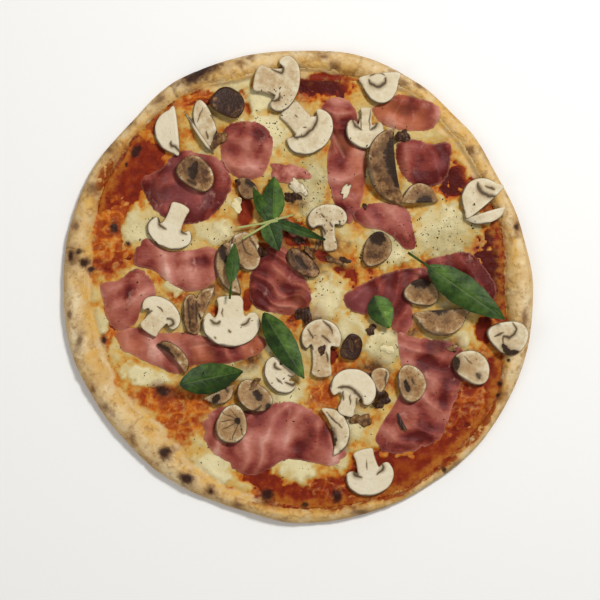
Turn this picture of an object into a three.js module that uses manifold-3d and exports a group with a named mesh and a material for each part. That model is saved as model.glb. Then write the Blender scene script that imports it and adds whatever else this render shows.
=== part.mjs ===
// A ham and mushroom pizza, 320 mm across, whole, with the cuts of its eight slices showing at the rim.
//
// Millimetres, +Z up. The flat underside of the dough lies on z = 0 and its middle is near the origin.
// Layers go down in the order in which they are laid: dough, tomato sauce, melted cheese, folded ham,
// mushroom slices, basil. A map of the highest point so far, LaidSurface, says how high each next piece
// lies, so soft slices drape over what is below them and stiff ones rest on it.

import * as THREE from 'three';
import { mergeVertices } from 'three/addons/utils/BufferGeometryUtils.js';
import Module from 'manifold-3d';

// ---------------------------------------------------------------- driving sizes, millimetres

const PIZZA_DIAMETER = 320;        // mean, over the uneven rim
const BASE_THICKNESS = 4;          // dough under the toppings
const RIM_HEIGHT = 13;             // crest of the rim above the table
const RIM_WIDTH = 20;              // where the rim is full
const NARROW_RIM = 0.4;            // height share that a rim of no width would keep
const RIM_UNEVEN = 1.3;            // how far the blistered crest swells and sinks
const EDGE_INSET = 1.4;            // sauce stops this far inside the foot of the rim
const SAUCE_THICKNESS = 0.9;
const CHEESE_THICKNESS = 1.1;      // between the pools, which are thicker
const HAM_THICKNESS = 1.3;
const HAM_RUMPLE = 1.8;            // height of the waves in a folded slice
const MUSHROOM_THICKNESS = 3.2;
const LEAF_THICKNESS = 0.8;
const LEAF_ARCH = 1.6;             // how far a leaf's edges hang below its midrib
const LEAF_WAVE = 0.4;             // slow wave along a leaf
const REST_GAP = 0.35;             // air between one piece and the next
const CUT_WIDTH = 3;               // groove of a cut across the rim, at its top
const CUT_DEPTH = 3.5;

// ---------------------------------------------------------------- the plan grid

// Places are read on a plan grid of fine squares, 472 of them across the pizza, x to the right and
// y towards the eater, so that one square is PIZZA_DIAMETER / 472.
const PLAN_ACROSS = 472;
const PLAN_MIDDLE = { x: 299, y: 289 };
const SQUARE = PIZZA_DIAMETER / PLAN_ACROSS;

const place = ([x, y]) => new THREE.Vector2((x - PLAN_MIDDLE.x) * SQUARE, (PLAN_MIDDLE.y - y) * SQUARE);

// Reach from the middle every 15 degrees, counter-clockwise from the right, in plan squares.
const OUTER_EDGE = [236, 232, 230, 234, 240, 243, 240, 241, 243, 239, 240, 239,
  237, 238, 234, 233, 231, 230, 236, 236, 237, 238, 239, 238];
const RIM_FOOT = [202, 207, 207, 212, 220, 216, 214, 212, 221, 221, 217, 211,
  208, 204, 202, 192, 204, 211, 216, 219, 224, 224, 222, 210];
const CHEESE_EDGE = [178, 184, 186, 196, 214, 192, 192, 208, 190, 176, 178, 205,
  202, 198, 197, 186, 200, 206, 188, 180, 178, 184, 196, 190];

// Directions of the cuts that show at the rim, degrees.
const CUT_ANGLES = [75, 122.5, 170, 219, 265, 308, 340];

// Thick pools of melted cheese: middle, reach and rise in plan squares and millimetres.
const CHEESE_POOLS = [
  { at: [440, 228], reach: 34, rise: 2.2 },
  { at: [376, 252], reach: 26, rise: 1.6 },
  { at: [322, 298], reach: 26, rise: 2.0 },
  { at: [376, 344], reach: 24, rise: 1.6 },
  { at: [312, 188], reach: 24, rise: 1.8 },
  { at: [268, 128], reach: 30, rise: 1.6 },
  { at: [140, 225], reach: 22, rise: 1.6 },
  { at: [214, 232], reach: 20, rise: 1.6 },
  { at: [150, 382], reach: 26, rise: 2.2 },
  { at: [214, 468], reach: 24, rise: 1.8 },
  { at: [298, 468], reach: 20, rise: 1.6 },
  { at: [285, 400], reach: 22, rise: 1.4 },
];

// Ham, lowest slice first: the outline of each folded slice, the way its waves run and how many.
const HAM_SLICES = [
  { waves: 2, turn: 20, outline: [[141, 178], [158, 170], [180, 150], [204, 154], [220, 158], [232, 182],
    [222, 206], [200, 223], [170, 221], [150, 205]] },
  { waves: 2, turn: 75, outline: [[225, 127], [240, 121], [262, 124], [273, 139], [270, 160], [262, 176],
    [245, 180], [231, 174], [221, 158], [221, 140]] },
  { waves: 3, turn: 80, outline: [[322, 103], [340, 96], [353, 105], [362, 130], [367, 160], [364, 190],
    [358, 215], [345, 226], [335, 205], [328, 180], [327, 160], [331, 135]] },
  { waves: 2, turn: -10, outline: [[372, 108], [385, 102], [398, 94], [416, 98], [438, 106], [441, 114],
    [432, 129], [416, 131], [398, 130], [380, 122]] },
  { waves: 2, turn: 15, outline: [[398, 142], [415, 139], [432, 144], [450, 142], [451, 160], [446, 180],
    [430, 187], [412, 184], [401, 172], [396, 158]] },
  { waves: 2, turn: 30, outline: [[352, 213], [368, 204], [392, 203], [408, 210], [413, 228], [416, 248],
    [405, 249], [394, 238], [380, 230], [362, 226]] },
  { waves: 2, turn: 30, outline: [[424, 262], [445, 255], [468, 252], [484, 266], [497, 288], [493, 303],
    [478, 300], [458, 286], [438, 276]] },
  { waves: 3, turn: -20, outline: [[343, 297], [362, 284], [386, 273], [410, 268], [432, 270], [428, 286],
    [413, 302], [413, 325], [400, 336], [388, 322], [366, 314], [350, 311]] },
  { waves: 3, turn: 60, outline: [[254, 262], [266, 248], [281, 244], [296, 261], [307, 282], [312, 301],
    [296, 314], [272, 313], [253, 306], [249, 284]] },
  { waves: 2, turn: 5, outline: [[146, 238], [165, 250], [190, 250], [214, 247], [219, 262], [214, 282],
    [190, 292], [168, 282], [150, 269], [134, 266], [134, 253]] },
  { waves: 2, turn: -60, outline: [[100, 284], [118, 280], [136, 268], [149, 276], [156, 295], [142, 307],
    [136, 323], [118, 331], [108, 322], [103, 302]] },
  { waves: 3, turn: 8, outline: [[114, 334], [136, 327], [160, 333], [190, 332], [222, 341], [262, 335],
    [267, 347], [244, 360], [215, 365], [188, 367], [180, 375], [160, 368], [138, 359], [121, 348]] },
  { waves: 4, turn: 70, outline: [[398, 332], [420, 338], [446, 340], [464, 352], [462, 384], [452, 410],
    [440, 440], [418, 450], [392, 455], [376, 446], [378, 430], [392, 408], [402, 384], [400, 356]] },
  { waves: 4, turn: -15, outline: [[203, 424], [218, 406], [250, 411], [285, 401], [312, 410], [330, 428],
    [346, 450], [340, 465], [312, 463], [288, 459], [268, 470], [246, 477], [229, 464], [207, 447]] },
];

// Mushroom slices, lowest first, in plan squares. Three forms turn up:
//   whole - a slice through cap and stem, from the top of the cap to the end of the stem
//   half  - a slice through the cap alone: a straight side, a dome to the left of its direction, and
//           a hollow where the gills are
//   oval  - a slanting slice or an end piece; a taper narrows one end, a squareness fills the corners
// A pair is two slices that lie in each other and are taken as one piece. Brown ones are cooked through.
const MUSHROOM_SLICES = [
  { form: 'oval', at: [206, 125], long: 50, wide: 20, turn: -71 },
  { form: 'oval', at: [228, 104], long: 34, wide: 28, turn: -30, square: 0.8, thick: 1.5, brown: true },
  { form: 'half', at: [178, 131], long: 44, wide: 23, turn: 96 },
  { form: 'whole', top: [324, 147], end: [289, 109], capWide: 52, capHigh: 33, stemWide: 24 },
  { form: 'whole', top: [299, 88], end: [257, 78], capWide: 57, capHigh: 26, stemWide: 27 },
  { form: 'half', at: [380, 75], long: 37, wide: 29, turn: 186 },
  { form: 'whole', top: [363, 149], end: [366, 109], capWide: 38, capHigh: 29, stemWide: 12 },
  { form: 'half', at: [398, 165], long: 75, wide: 31, turn: 98, hollow: 3, thick: 1.4, brown: true },
  { form: 'half', at: [419, 203], long: 33, wide: 19, turn: 2, thick: 1.2, brown: true },
  { form: 'half', at: [485, 212], long: 38, wide: 11, turn: 197 },
  { form: 'half', at: [486, 204], long: 43, wide: 27, turn: 41 },
  { form: 'oval', at: [196, 174], long: 40, wide: 30, turn: -40, square: 0.85, thick: 1.3, brown: true },
  { form: 'oval', at: [247, 188], long: 24, wide: 18, turn: -50, brown: true },
  { form: 'whole', top: [163, 247], end: [181, 206], capWide: 46, capHigh: 26, stemWide: 19 },
  { form: 'oval', at: [377, 249], long: 37, wide: 27, turn: 62, thick: 1.2, brown: true },
  { form: 'whole', top: [326, 204], end: [331, 249], capWide: 40, capHigh: 24, stemWide: 13 },
  { form: 'oval', at: [302, 264], long: 38, wide: 20, turn: -40, square: 0.9, brown: true },
  { pair: [
    { form: 'half', at: [235, 267], long: 52, wide: 19, turn: 104, brown: true },
    { form: 'oval', at: [245, 251], long: 39, wide: 30, turn: -65 },
  ] },
  { pair: [
    { form: 'oval', at: [192, 315], long: 40, wide: 16, turn: 95, square: 0.7, brown: true },
    { form: 'half', at: [209, 303], long: 29, wide: 13, turn: 68 },
  ] },
  { form: 'whole', top: [170, 302], end: [148, 331], capWide: 43, capHigh: 23, stemWide: 21 },
  { form: 'whole', top: [232, 347], end: [230, 298], capWide: 57, capHigh: 36, stemWide: 27 },
  { form: 'half', at: [171, 359], long: 40, wide: 14, turn: -45, hollow: 3, brown: true },
  { form: 'half', at: [219, 392], long: 29, wide: 13, turn: 205, brown: true },
  { form: 'oval', at: [254, 397], long: 38, wide: 27, turn: -35, square: 0.9, thick: 1.2, brown: true },
  { form: 'oval', at: [232, 424], long: 39, wide: 31, turn: 78, thick: 1.2, brown: true },
  { form: 'whole', top: [268, 383], end: [298, 364], capWide: 40, capHigh: 24, stemWide: 16 },
  { form: 'half', at: [327, 432], long: 47, wide: 22, turn: -75, hollow: 5 },
  { form: 'oval', at: [380, 380], long: 26, wide: 17, turn: -92, taper: -0.35, brown: true },
  { form: 'whole', top: [360, 370], end: [345, 414], capWide: 46, capHigh: 33, stemWide: 17 },
  { form: 'oval', at: [411, 383], long: 38, wide: 28, turn: 100, brown: true },
  { form: 'whole', top: [375, 495], end: [363, 451], capWide: 48, capHigh: 31, stemWide: 21 },
  { form: 'oval', at: [471, 367], long: 41, wide: 31, turn: -35 },
  { form: 'oval', at: [507, 337], long: 41, wide: 33, turn: 170, taper: -0.3 },
  { form: 'half', at: [441, 311], long: 50, wide: 25, turn: 184, thick: 1.2, brown: true },
  { form: 'oval', at: [421, 292], long: 35, wide: 27, turn: -8, thick: 1.2, brown: true },
  { form: 'whole', top: [321, 319], end: [322, 375], capWide: 40, capHigh: 31, stemWide: 19 },
  { form: 'oval', at: [351, 347], long: 26, wide: 20, turn: 70, square: 0.75, brown: true },
];

// Basil, lowest first: from the foot of the leaf to its tip, width in plan squares, and the part of its
// length that is bare stalk.
const BASIL_LEAVES = [
  { foot: [264, 313], tip: [304, 378], wide: 27 },
  { foot: [181, 384], tip: [243, 371], wide: 31 },
  { foot: [407, 253], tip: [503, 319], wide: 32, stalk: 0.2 },
  { foot: [374, 296], tip: [389, 328], wide: 26 },
  { foot: [230, 299], tip: [235, 244], wide: 14, stalk: 0.3 },
];
const BASIL_SPRIG = [
  { foot: [273, 221], tip: [274, 177], wide: 23 },
  { foot: [268, 221], tip: [254, 189], wide: 13 },
  { foot: [266, 217], tip: [279, 251], wide: 21 },
  { foot: [268, 219], tip: [325, 240], wide: 11 },
  { foot: [278, 221], tip: [237, 228], wide: 2.4, stalk: 1 },
  { foot: [278, 218], tip: [243, 239], wide: 2.4, stalk: 1 },
  { foot: [264, 223], tip: [293, 215], wide: 2.4, stalk: 1 },
];

// ---------------------------------------------------------------- colours

const LOOK = {
  dough: { color: 0xd9b673, roughness: 0.85 },
  sauce: { color: 0x8c2412, roughness: 0.35 },
  cheese: { color: 0xd9cf9a, roughness: 0.45 },
  ham: { color: 0xa05a55, roughness: 0.45 },
  paleMushroom: { color: 0xddd0b8, roughness: 0.7 },
  brownMushroom: { color: 0x7d6547, roughness: 0.6 },
  basil: { color: 0x3d6b33, roughness: 0.5 },
};

// ---------------------------------------------------------------- small helpers

const TAU = Math.PI * 2;
const radians = THREE.MathUtils.degToRad;
const mix = THREE.MathUtils.lerp;

// Value of a ring of evenly spaced readings at any angle, rounded by a cosine between two of them.
function around(readings, angle) {
  const turnOf = ((angle / TAU) % 1 + 1) % 1 * readings.length;
  const before = Math.floor(turnOf);
  const part = (1 - Math.cos((turnOf - before) * Math.PI)) / 2;
  return mix(readings[before % readings.length], readings[(before + 1) % readings.length], part);
}

// A smooth ripple round a circle, between -1 and 1, the same for the same seed.
function ripple(angle, seed) {
  let sum = 0;
  for (let k = 0; k < 4; k++) sum += Math.sin(angle * (5 + seed % 3 + k * 4) + seed * (k + 1.7)) / 4;
  return sum;
}

// A smooth lumpy surface, between -1 and 1.
function lumps(x, y, size) {
  const [u, v] = [x / size, y / size];
  return (Math.sin(u + 1.3 * Math.sin(v)) + Math.sin(1.3 * v + 1.1 * Math.cos(u))) / 2;
}

// Evenly spread points of a smooth closed line through a few points.
function smoothLoop(points, count) {
  const flat = points.map((p) => new THREE.Vector3(p.x, p.y, 0));
  const line = new THREE.CatmullRomCurve3(flat, true, 'centripetal');
  return line.getSpacedPoints(count).slice(0, count).map((p) => new THREE.Vector2(p.x, p.y));
}

const material = ({ color, roughness }) => new THREE.MeshStandardMaterial({ color, roughness });

// ---------------------------------------------------------------- the surface that pieces are laid on

class LaidSurface {
  constructor(halfWidth, cell) {
    this.halfWidth = halfWidth;
    this.cell = cell;
    this.side = Math.ceil(2 * halfWidth / cell) + 1;
    this.height = new Float64Array(this.side * this.side);
  }

  index(value) {
    return THREE.MathUtils.clamp(Math.round((value + this.halfWidth) / this.cell), 0, this.side - 1);
  }

  // The highest point within reach of (x, y).
  highest(x, y, reach) {
    const span = Math.ceil(reach / this.cell) + 1;
    const column = this.index(x);
    const row = this.index(y);
    let top = 0;
    for (let j = Math.max(row - span, 0); j <= Math.min(row + span, this.side - 1); j++) {
      for (let i = Math.max(column - span, 0); i <= Math.min(column + span, this.side - 1); i++) {
        const away = Math.hypot(i - column, j - row) * this.cell;
        if (away <= reach + this.cell) top = Math.max(top, this.height[j * this.side + i]);
      }
    }
    return top;
  }

  // Calls visit(x, y, z, cell) for each cell under a triangle, and at its corners.
  eachCellOf([a, b, c], visit) {
    const call = (x, y, z) => visit(x, y, z, this.index(y) * this.side + this.index(x));
    for (const corner of [a, b, c]) call(corner.x, corner.y, corner.z);
    const area = (b.x - a.x) * (c.y - a.y) - (c.x - a.x) * (b.y - a.y);
    if (Math.abs(area) < 1e-6) return;
    const low = (axis) => Math.ceil(Math.min(a[axis], b[axis], c[axis]) / this.cell) * this.cell;
    const high = (axis) => Math.max(a[axis], b[axis], c[axis]);
    for (let x = low('x'); x <= high('x'); x += this.cell) {
      for (let y = low('y'); y <= high('y'); y += this.cell) {
        const u = ((b.x - x) * (c.y - y) - (c.x - x) * (b.y - y)) / area;
        const v = ((c.x - x) * (a.y - y) - (a.x - x) * (c.y - y)) / area;
        if (u < 0 || v < 0 || u + v > 1) continue;
        call(x, y, u * a.z + v * b.z + (1 - u - v) * c.z);
      }
    }
  }

  // Everything of a mesh that faces up becomes part of the surface.
  cover(mesh) {
    for (const triangle of trianglesOf(mesh)) {
      this.eachCellOf(triangle, (x, y, z, cell) => {
        this.height[cell] = Math.max(this.height[cell], z);
      });
    }
  }

  // Raises a mesh until it just clears the surface, then covers with it.
  rest(mesh) {
    let lift = -Infinity;
    for (const triangle of trianglesOf(mesh)) {
      this.eachCellOf(triangle, (x, y, z) => {
        lift = Math.max(lift, this.highest(x, y, this.cell / 2) - z);
      });
    }
    mesh.position.z += lift + REST_GAP;
    this.cover(mesh);
    return mesh;
  }
}

function trianglesOf(mesh) {
  mesh.updateMatrixWorld(true);
  const flat = mesh.geometry.index ? mesh.geometry.toNonIndexed() : mesh.geometry;
  const position = flat.getAttribute('position');
  const corner = (i) => new THREE.Vector3().fromBufferAttribute(position, i).applyMatrix4(mesh.matrixWorld);
  const found = [];
  for (let i = 0; i < position.count; i += 3) found.push([corner(i), corner(i + 1), corner(i + 2)]);
  return found;
}

// ---------------------------------------------------------------- closed sheets from a plan

// A plan is { points, triangles, border }: points as seen from above, triangles counter-clockwise, and
// the counter-clockwise loop of the border. Both faces of a sheet are split into triangles alike.
function sheetGeometry({ points, triangles, border }, bottom, top) {
  const count = points.length;
  const positions = [];
  points.forEach((p, i) => positions.push(p.x, p.y, top[i]));
  points.forEach((p, i) => positions.push(p.x, p.y, bottom[i]));
  const index = [];
  for (const [a, b, c] of triangles) index.push(a, b, c, a + count, c + count, b + count);
  border.forEach((a, i) => {
    const b = border[(i + 1) % border.length];
    index.push(a, a + count, b + count, a, b + count, b);
  });
  const geometry = new THREE.BufferGeometry();
  geometry.setAttribute('position', new THREE.Float32BufferAttribute(positions, 3));
  geometry.setIndex(index);
  geometry.computeVertexNormals();
  return geometry;
}

// Rings drawn in from a star-shaped outline to its middle; fractions run from 1 inwards.
function ringPlan(outline, middle, fractions) {
  const count = outline.length;
  const points = [];
  for (const f of fractions) {
    outline.forEach((p) => points.push(p.clone().sub(middle).multiplyScalar(f).add(middle)));
  }
  points.push(middle.clone());
  const triangles = [];
  const last = (fractions.length - 1) * count;
  for (let i = 0; i < count; i++) {
    const next = (i + 1) % count;
    for (let ring = 0; ring < last; ring += count) {
      const inner = ring + count;
      triangles.push([ring + i, ring + next, inner + next], [ring + i, inner + next, inner + i]);
    }
    triangles.push([last + i, last + next, points.length - 1]);
  }
  return { points, triangles, border: outline.map((p, i) => i) };
}

// Length of the longest plan edge at each point: how far a flat facet reaches from there.
function facetReach({ points, triangles }) {
  const reach = points.map(() => 0);
  for (const corners of triangles) {
    corners.forEach((a, i) => {
      const b = corners[(i + 1) % 3];
      const length = points[a].distanceTo(points[b]);
      reach[a] = Math.max(reach[a], length);
      reach[b] = Math.max(reach[b], length);
    });
  }
  return reach;
}

// ---------------------------------------------------------------- dough

// Section of the rim, from the foot inside to the underside: how far across the rim, and how high.
const RIM_SECTION = [
  { across: 0, height: BASE_THICKNESS / RIM_HEIGHT },
  { across: 0.2, height: 0.62 },
  { across: 0.45, height: 0.98 },
  { across: 0.7, height: 0.93 },
  { across: 0.91, height: 0.68 },
  { across: 1, height: 0.38 },
  { across: 0.95, height: 0.14 },
  { across: 0.82, height: 0 },
];
const RIM_STATIONS = 84;
const FLOOR_RINGS = [0.36, 0.68];  // of the reach of the rim's foot
const UNDER_RING = 0.45;           // of the reach of the outer edge

// Evenly spread directions, with three more across each cut in place of those near it.
function stationAngles() {
  const halfCut = CUT_WIDTH / PIZZA_DIAMETER;
  const clearOfCuts = (angle) => CUT_ANGLES.every((cut) => Math.abs(angle - radians(cut)) > 1.8 * halfCut);
  const angles = [];
  for (let i = 0; i < RIM_STATIONS; i++) angles.push(TAU * i / RIM_STATIONS);
  const kept = angles.filter(clearOfCuts);
  for (const cut of CUT_ANGLES) kept.push(radians(cut) - halfCut, radians(cut), radians(cut) + halfCut);
  return kept.sort((a, b) => a - b);
}

const isCut = (angle) => CUT_ANGLES.some((cut) => Math.abs(angle - radians(cut)) < 1e-6);

function doughGeometry() {
  const angles = stationAngles();
  const rows = [];
  for (const angle of angles) {
    const foot = around(RIM_FOOT, angle) * SQUARE;
    const edge = around(OUTER_EDGE, angle) * SQUARE + 0.7 * ripple(angle, 3);
    const plump = Math.min(1, (edge - foot) / RIM_WIDTH);
    const swell = RIM_HEIGHT * mix(NARROW_RIM, 1, plump) + RIM_UNEVEN * ripple(angle, 7);
    const row = RIM_SECTION.map(({ across, height }, k) => {
      const raised = k > 0 && height > 0;
      const blister = raised ? 0.5 * RIM_UNEVEN * ripple(angle * 2, 11 + k) * height : 0;
      const groove = raised && isCut(angle) ? CUT_DEPTH * height : 0;
      const inset = isCut(angle) ? 0.8 * across : 0;
      const z = k === 0 ? BASE_THICKNESS : swell * height + blister - groove;
      return { r: mix(foot, edge, across) - inset, z };
    });
    const floor = FLOOR_RINGS.map((f) => ({ r: foot * f, z: BASE_THICKNESS }));
    rows.push([...floor, ...row, { r: edge * UNDER_RING, z: 0 }]);
  }
  const positions = [];
  const depth = rows[0].length;
  rows.forEach((row, i) => {
    for (const { r, z } of row) positions.push(r * Math.cos(angles[i]), r * Math.sin(angles[i]), z);
  });
  const top = positions.length / 3;
  positions.push(0, 0, BASE_THICKNESS, 0, 0, 0);
  const index = [];
  rows.forEach((row, i) => {
    const here = i * depth;
    const next = ((i + 1) % rows.length) * depth;
    for (let k = 0; k < depth - 1; k++) {
      index.push(here + k, here + k + 1, next + k + 1, here + k, next + k + 1, next + k);
    }
    index.push(top, here, next, top + 1, next + depth - 1, here + depth - 1);
  });
  const geometry = new THREE.BufferGeometry();
  geometry.setAttribute('position', new THREE.Float32BufferAttribute(positions, 3));
  geometry.setIndex(index);
  geometry.computeVertexNormals();
  return geometry;
}

// ---------------------------------------------------------------- sauce and cheese

// A loop round the pizza at the reach that a function of the angle gives.
function polarLoop(reach, stations) {
  const loop = [];
  for (let i = 0; i < stations; i++) {
    const angle = TAU * i / stations;
    loop.push(new THREE.Vector2(Math.cos(angle), Math.sin(angle)).multiplyScalar(reach(angle)));
  }
  return loop;
}

const SAUCE_STATIONS = 64;
const SAUCE_RINGS = [1, 0.97, 0.55];
const CHEESE_STATIONS = 60;
const CHEESE_RINGS = [1, 0.96, 0.82, 0.64, 0.44, 0.22];
const THIN_EDGE = 0.5;             // share of its thickness that a layer keeps at its border

const sauceReach = (angle) => around(RIM_FOOT, angle) * SQUARE - EDGE_INSET + 0.5 * ripple(angle, 5);
const cheeseReach = (angle) => Math.min(
  around(CHEESE_EDGE, angle) * SQUARE + 2.5 * ripple(angle, 2),
  sauceReach(angle) - 0.8,
);

// A layer with a flat bottom, thinner at its border.
function layerGeometry(reach, stations, rings, floor, thicknessAt) {
  const plan = ringPlan(polarLoop(reach, stations), new THREE.Vector2(), rings);
  const share = (i) => (i < stations ? THIN_EDGE : 1);
  const top = plan.points.map((p, i) => floor + share(i) * thicknessAt(p.x, p.y));
  return sheetGeometry(plan, top.map(() => floor), top);
}

function sauceGeometry() {
  const floor = BASE_THICKNESS + REST_GAP;
  return layerGeometry(sauceReach, SAUCE_STATIONS, SAUCE_RINGS, floor, () => SAUCE_THICKNESS);
}

function cheeseRise(x, y) {
  let rise = 0.35 * (1 + lumps(x, y, 9));
  for (const pool of CHEESE_POOLS) {
    const away = place(pool.at).distanceTo(new THREE.Vector2(x, y)) / (pool.reach * SQUARE);
    rise = Math.max(rise, pool.rise * Math.exp(-away * away));
  }
  return rise;
}

function cheeseGeometry() {
  const floor = BASE_THICKNESS + 2 * REST_GAP + SAUCE_THICKNESS;
  const thicknessAt = (x, y) => CHEESE_THICKNESS + cheeseRise(x, y);
  return layerGeometry(cheeseReach, CHEESE_STATIONS, CHEESE_RINGS, floor, thicknessAt);
}

// ---------------------------------------------------------------- ham

const HAM_RINGS = [1, 0.7, 0.38];
const HAM_POINTS = 22;

function hamGeometry({ outline, waves, turn }, surface) {
  const loop = smoothLoop(outline.map(place), HAM_POINTS);
  if (THREE.ShapeUtils.area(loop) < 0) loop.reverse();
  const middle = loop.reduce((sum, p) => sum.add(p), new THREE.Vector2()).divideScalar(loop.length);
  const plan = ringPlan(loop, middle, HAM_RINGS);
  const reach = facetReach(plan);
  const size = Math.sqrt(Math.abs(THREE.ShapeUtils.area(loop)));
  const across = new THREE.Vector2(Math.cos(radians(turn)), Math.sin(radians(turn)));
  const bottom = plan.points.map((p, i) => {
    const along = p.clone().sub(middle).dot(across) / size;
    const wave = 0.5 + 0.5 * Math.sin(along * waves * TAU + waves);
    return surface.highest(p.x, p.y, reach[i]) + REST_GAP + HAM_RUMPLE * wave;
  });
  return sheetGeometry(plan, bottom, bottom.map((z) => z + HAM_THICKNESS));
}

// ---------------------------------------------------------------- mushrooms

const WHOLE_POINTS = 26;
const HALF_POINTS = 12;
const OVAL_POINTS = 18;

// Outlines in their own frame: x along the slice, y across it, millimetres, counter-clockwise.
const OUTLINES = {
  whole({ top, end, capWide, capHigh, stemWide }) {
    const long = place(top).distanceTo(place(end));
    const cap = capWide * SQUARE / 2;
    const stem = stemWide * SQUARE / 2;
    const high = capHigh * SQUARE;
    const lobe = long - high;
    const side = [
      [0, stem * 0.96],
      [lobe * 0.55, stem * 0.9],
      [lobe + high * 0.2, mix(stem, cap, 0.12)],
      [lobe + high * 0.02, mix(stem, cap, 0.5)],
      [lobe + high * 0.14, mix(stem, cap, 0.87)],
      [lobe + high * 0.46, cap],
      [lobe + high * 0.82, cap * 0.7],
    ];
    const right = side.map(([x, y]) => new THREE.Vector2(x - long / 2, -y));
    const left = side.map(([x, y]) => new THREE.Vector2(x - long / 2, y)).reverse();
    return smoothLoop([...right, new THREE.Vector2(long / 2, 0), ...left], WHOLE_POINTS);
  },

  half({ long, wide, hollow = 0 }) {
    const points = [];
    for (let i = 0; i <= HALF_POINTS; i++) {
      const angle = Math.PI * i / HALF_POINTS;
      const x = Math.cos(angle) * long / 2;
      points.push(new THREE.Vector2(x, Math.sin(angle) ** 0.85 * wide).multiplyScalar(SQUARE));
    }
    if (hollow > 0) {
      for (const x of [-0.3, 0, 0.3]) {
        points.push(new THREE.Vector2(x * long, hollow * (1 - 4 * x * x)).multiplyScalar(SQUARE));
      }
    }
    return points;
  },

  oval({ long, wide, taper = 0, square = 1 }) {
    const points = [];
    for (let i = 0; i < OVAL_POINTS; i++) {
      const angle = TAU * i / OVAL_POINTS;
      const x = Math.sign(Math.cos(angle)) * Math.abs(Math.cos(angle)) ** square * long / 2;
      const y = Math.sign(Math.sin(angle)) * Math.abs(Math.sin(angle)) ** square * wide / 2;
      const uneven = 1 + 0.05 * Math.sin(3 * angle + long);
      points.push(new THREE.Vector2(x, y * (1 + taper * Math.cos(angle))).multiplyScalar(SQUARE * uneven));
    }
    return points;
  },
};

const MUSHROOM_TILT = 0.16;        // steepest slope of a slice that rests on others

// Slope of what lies below an outline, fitted as a plane to the heights at its points.
function slopeBelow(surface, footprint) {
  const middle = footprint.reduce((sum, p) => sum.add(p), new THREE.Vector2()).divideScalar(footprint.length);
  const sums = { xx: 1e-6, xy: 0, yy: 1e-6, xz: 0, yz: 0 };
  for (const p of footprint) {
    const [x, y] = [p.x - middle.x, p.y - middle.y];
    const z = surface.highest(p.x, p.y, 2);
    sums.xx += x * x;
    sums.xy += x * y;
    sums.yy += y * y;
    sums.xz += x * z;
    sums.yz += y * z;
  }
  const by = sums.xx * sums.yy - sums.xy * sums.xy;
  const slope = new THREE.Vector2(
    (sums.xz * sums.yy - sums.yz * sums.xy) / by,
    (sums.yz * sums.xx - sums.xz * sums.xy) / by,
  );
  return slope.clampLength(0, MUSHROOM_TILT);
}

// Where a slice lies on the plan and which way it points.
function stanceOf(slice) {
  if (slice.form !== 'whole') return { at: place(slice.at), way: radians(slice.turn) };
  const top = place(slice.top);
  const end = place(slice.end);
  return { at: top.clone().add(end).divideScalar(2), way: top.clone().sub(end).angle() };
}

// Outline of a slice on the plan, about the point that its piece is placed by.
function footprintOf(slice, middle) {
  const { at, way } = stanceOf(slice);
  return OUTLINES[slice.form](slice).map((p) => p.rotateAround(new THREE.Vector2(), way).add(at).sub(middle));
}

function mushroomMesh(entry, surface) {
  const slices = entry.pair ?? [entry];
  const middle = stanceOf(slices[0]).at;
  const footprints = slices.map((slice) => footprintOf(slice, middle));
  const slabs = footprints.map((footprint, i) => {
    const depth = MUSHROOM_THICKNESS * (slices[i].thick ?? 1);
    const slab = new THREE.ExtrudeGeometry(new THREE.Shape(footprint), { depth, bevelEnabled: false });
    return new THREE.Mesh(slab);
  });
  const slope = slopeBelow(surface, footprints.flat().map((p) => p.clone().add(middle)));
  const geometry = slabs.length > 1 ? joined(slabs) : slabs[0].geometry;
  const look = slices[0].brown ? LOOK.brownMushroom : LOOK.paleMushroom;
  const mesh = new THREE.Mesh(geometry, material(look));
  const normal = new THREE.Vector3(-slope.x, -slope.y, 1).normalize();
  mesh.quaternion.setFromUnitVectors(new THREE.Vector3(0, 0, 1), normal);
  mesh.position.set(middle.x, middle.y, 0);
  return mesh;
}

// ---------------------------------------------------------------- basil

const LEAF_ROWS = 7;
const LEAF_COLUMNS = [-1, -0.5, 0, 0.5, 1];  // from one edge over the midrib to the other
const LEAF_SOFTENING = 4;          // passes that even out a leaf's bends
const STALK_WIDE = 2;              // plan squares

// Half width of a leaf from foot (0) to tip (1), in plan squares.
function leafHalfWidth(part, wide, stalk) {
  const stalkHalf = Math.min(wide, STALK_WIDE) / 2;
  if (part <= stalk) return stalkHalf;
  const blade = (part - stalk) / (1 - stalk);
  return Math.max(stalkHalf, Math.sin(Math.PI * blade ** 0.82) ** 0.8 * wide / 2);
}

// Heights along a midrib that bends softly over what lies within reach of it.
function softHeights(midrib, reach, surface) {
  let heights = midrib.map((p) => surface.highest(p.x, p.y, reach));
  const evened = (h, i) => ((heights[i - 1] ?? h) + 2 * h + (heights[i + 1] ?? h)) / 4;
  for (let pass = 0; pass < LEAF_SOFTENING; pass++) heights = heights.map(evened);
  return heights;
}

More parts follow.
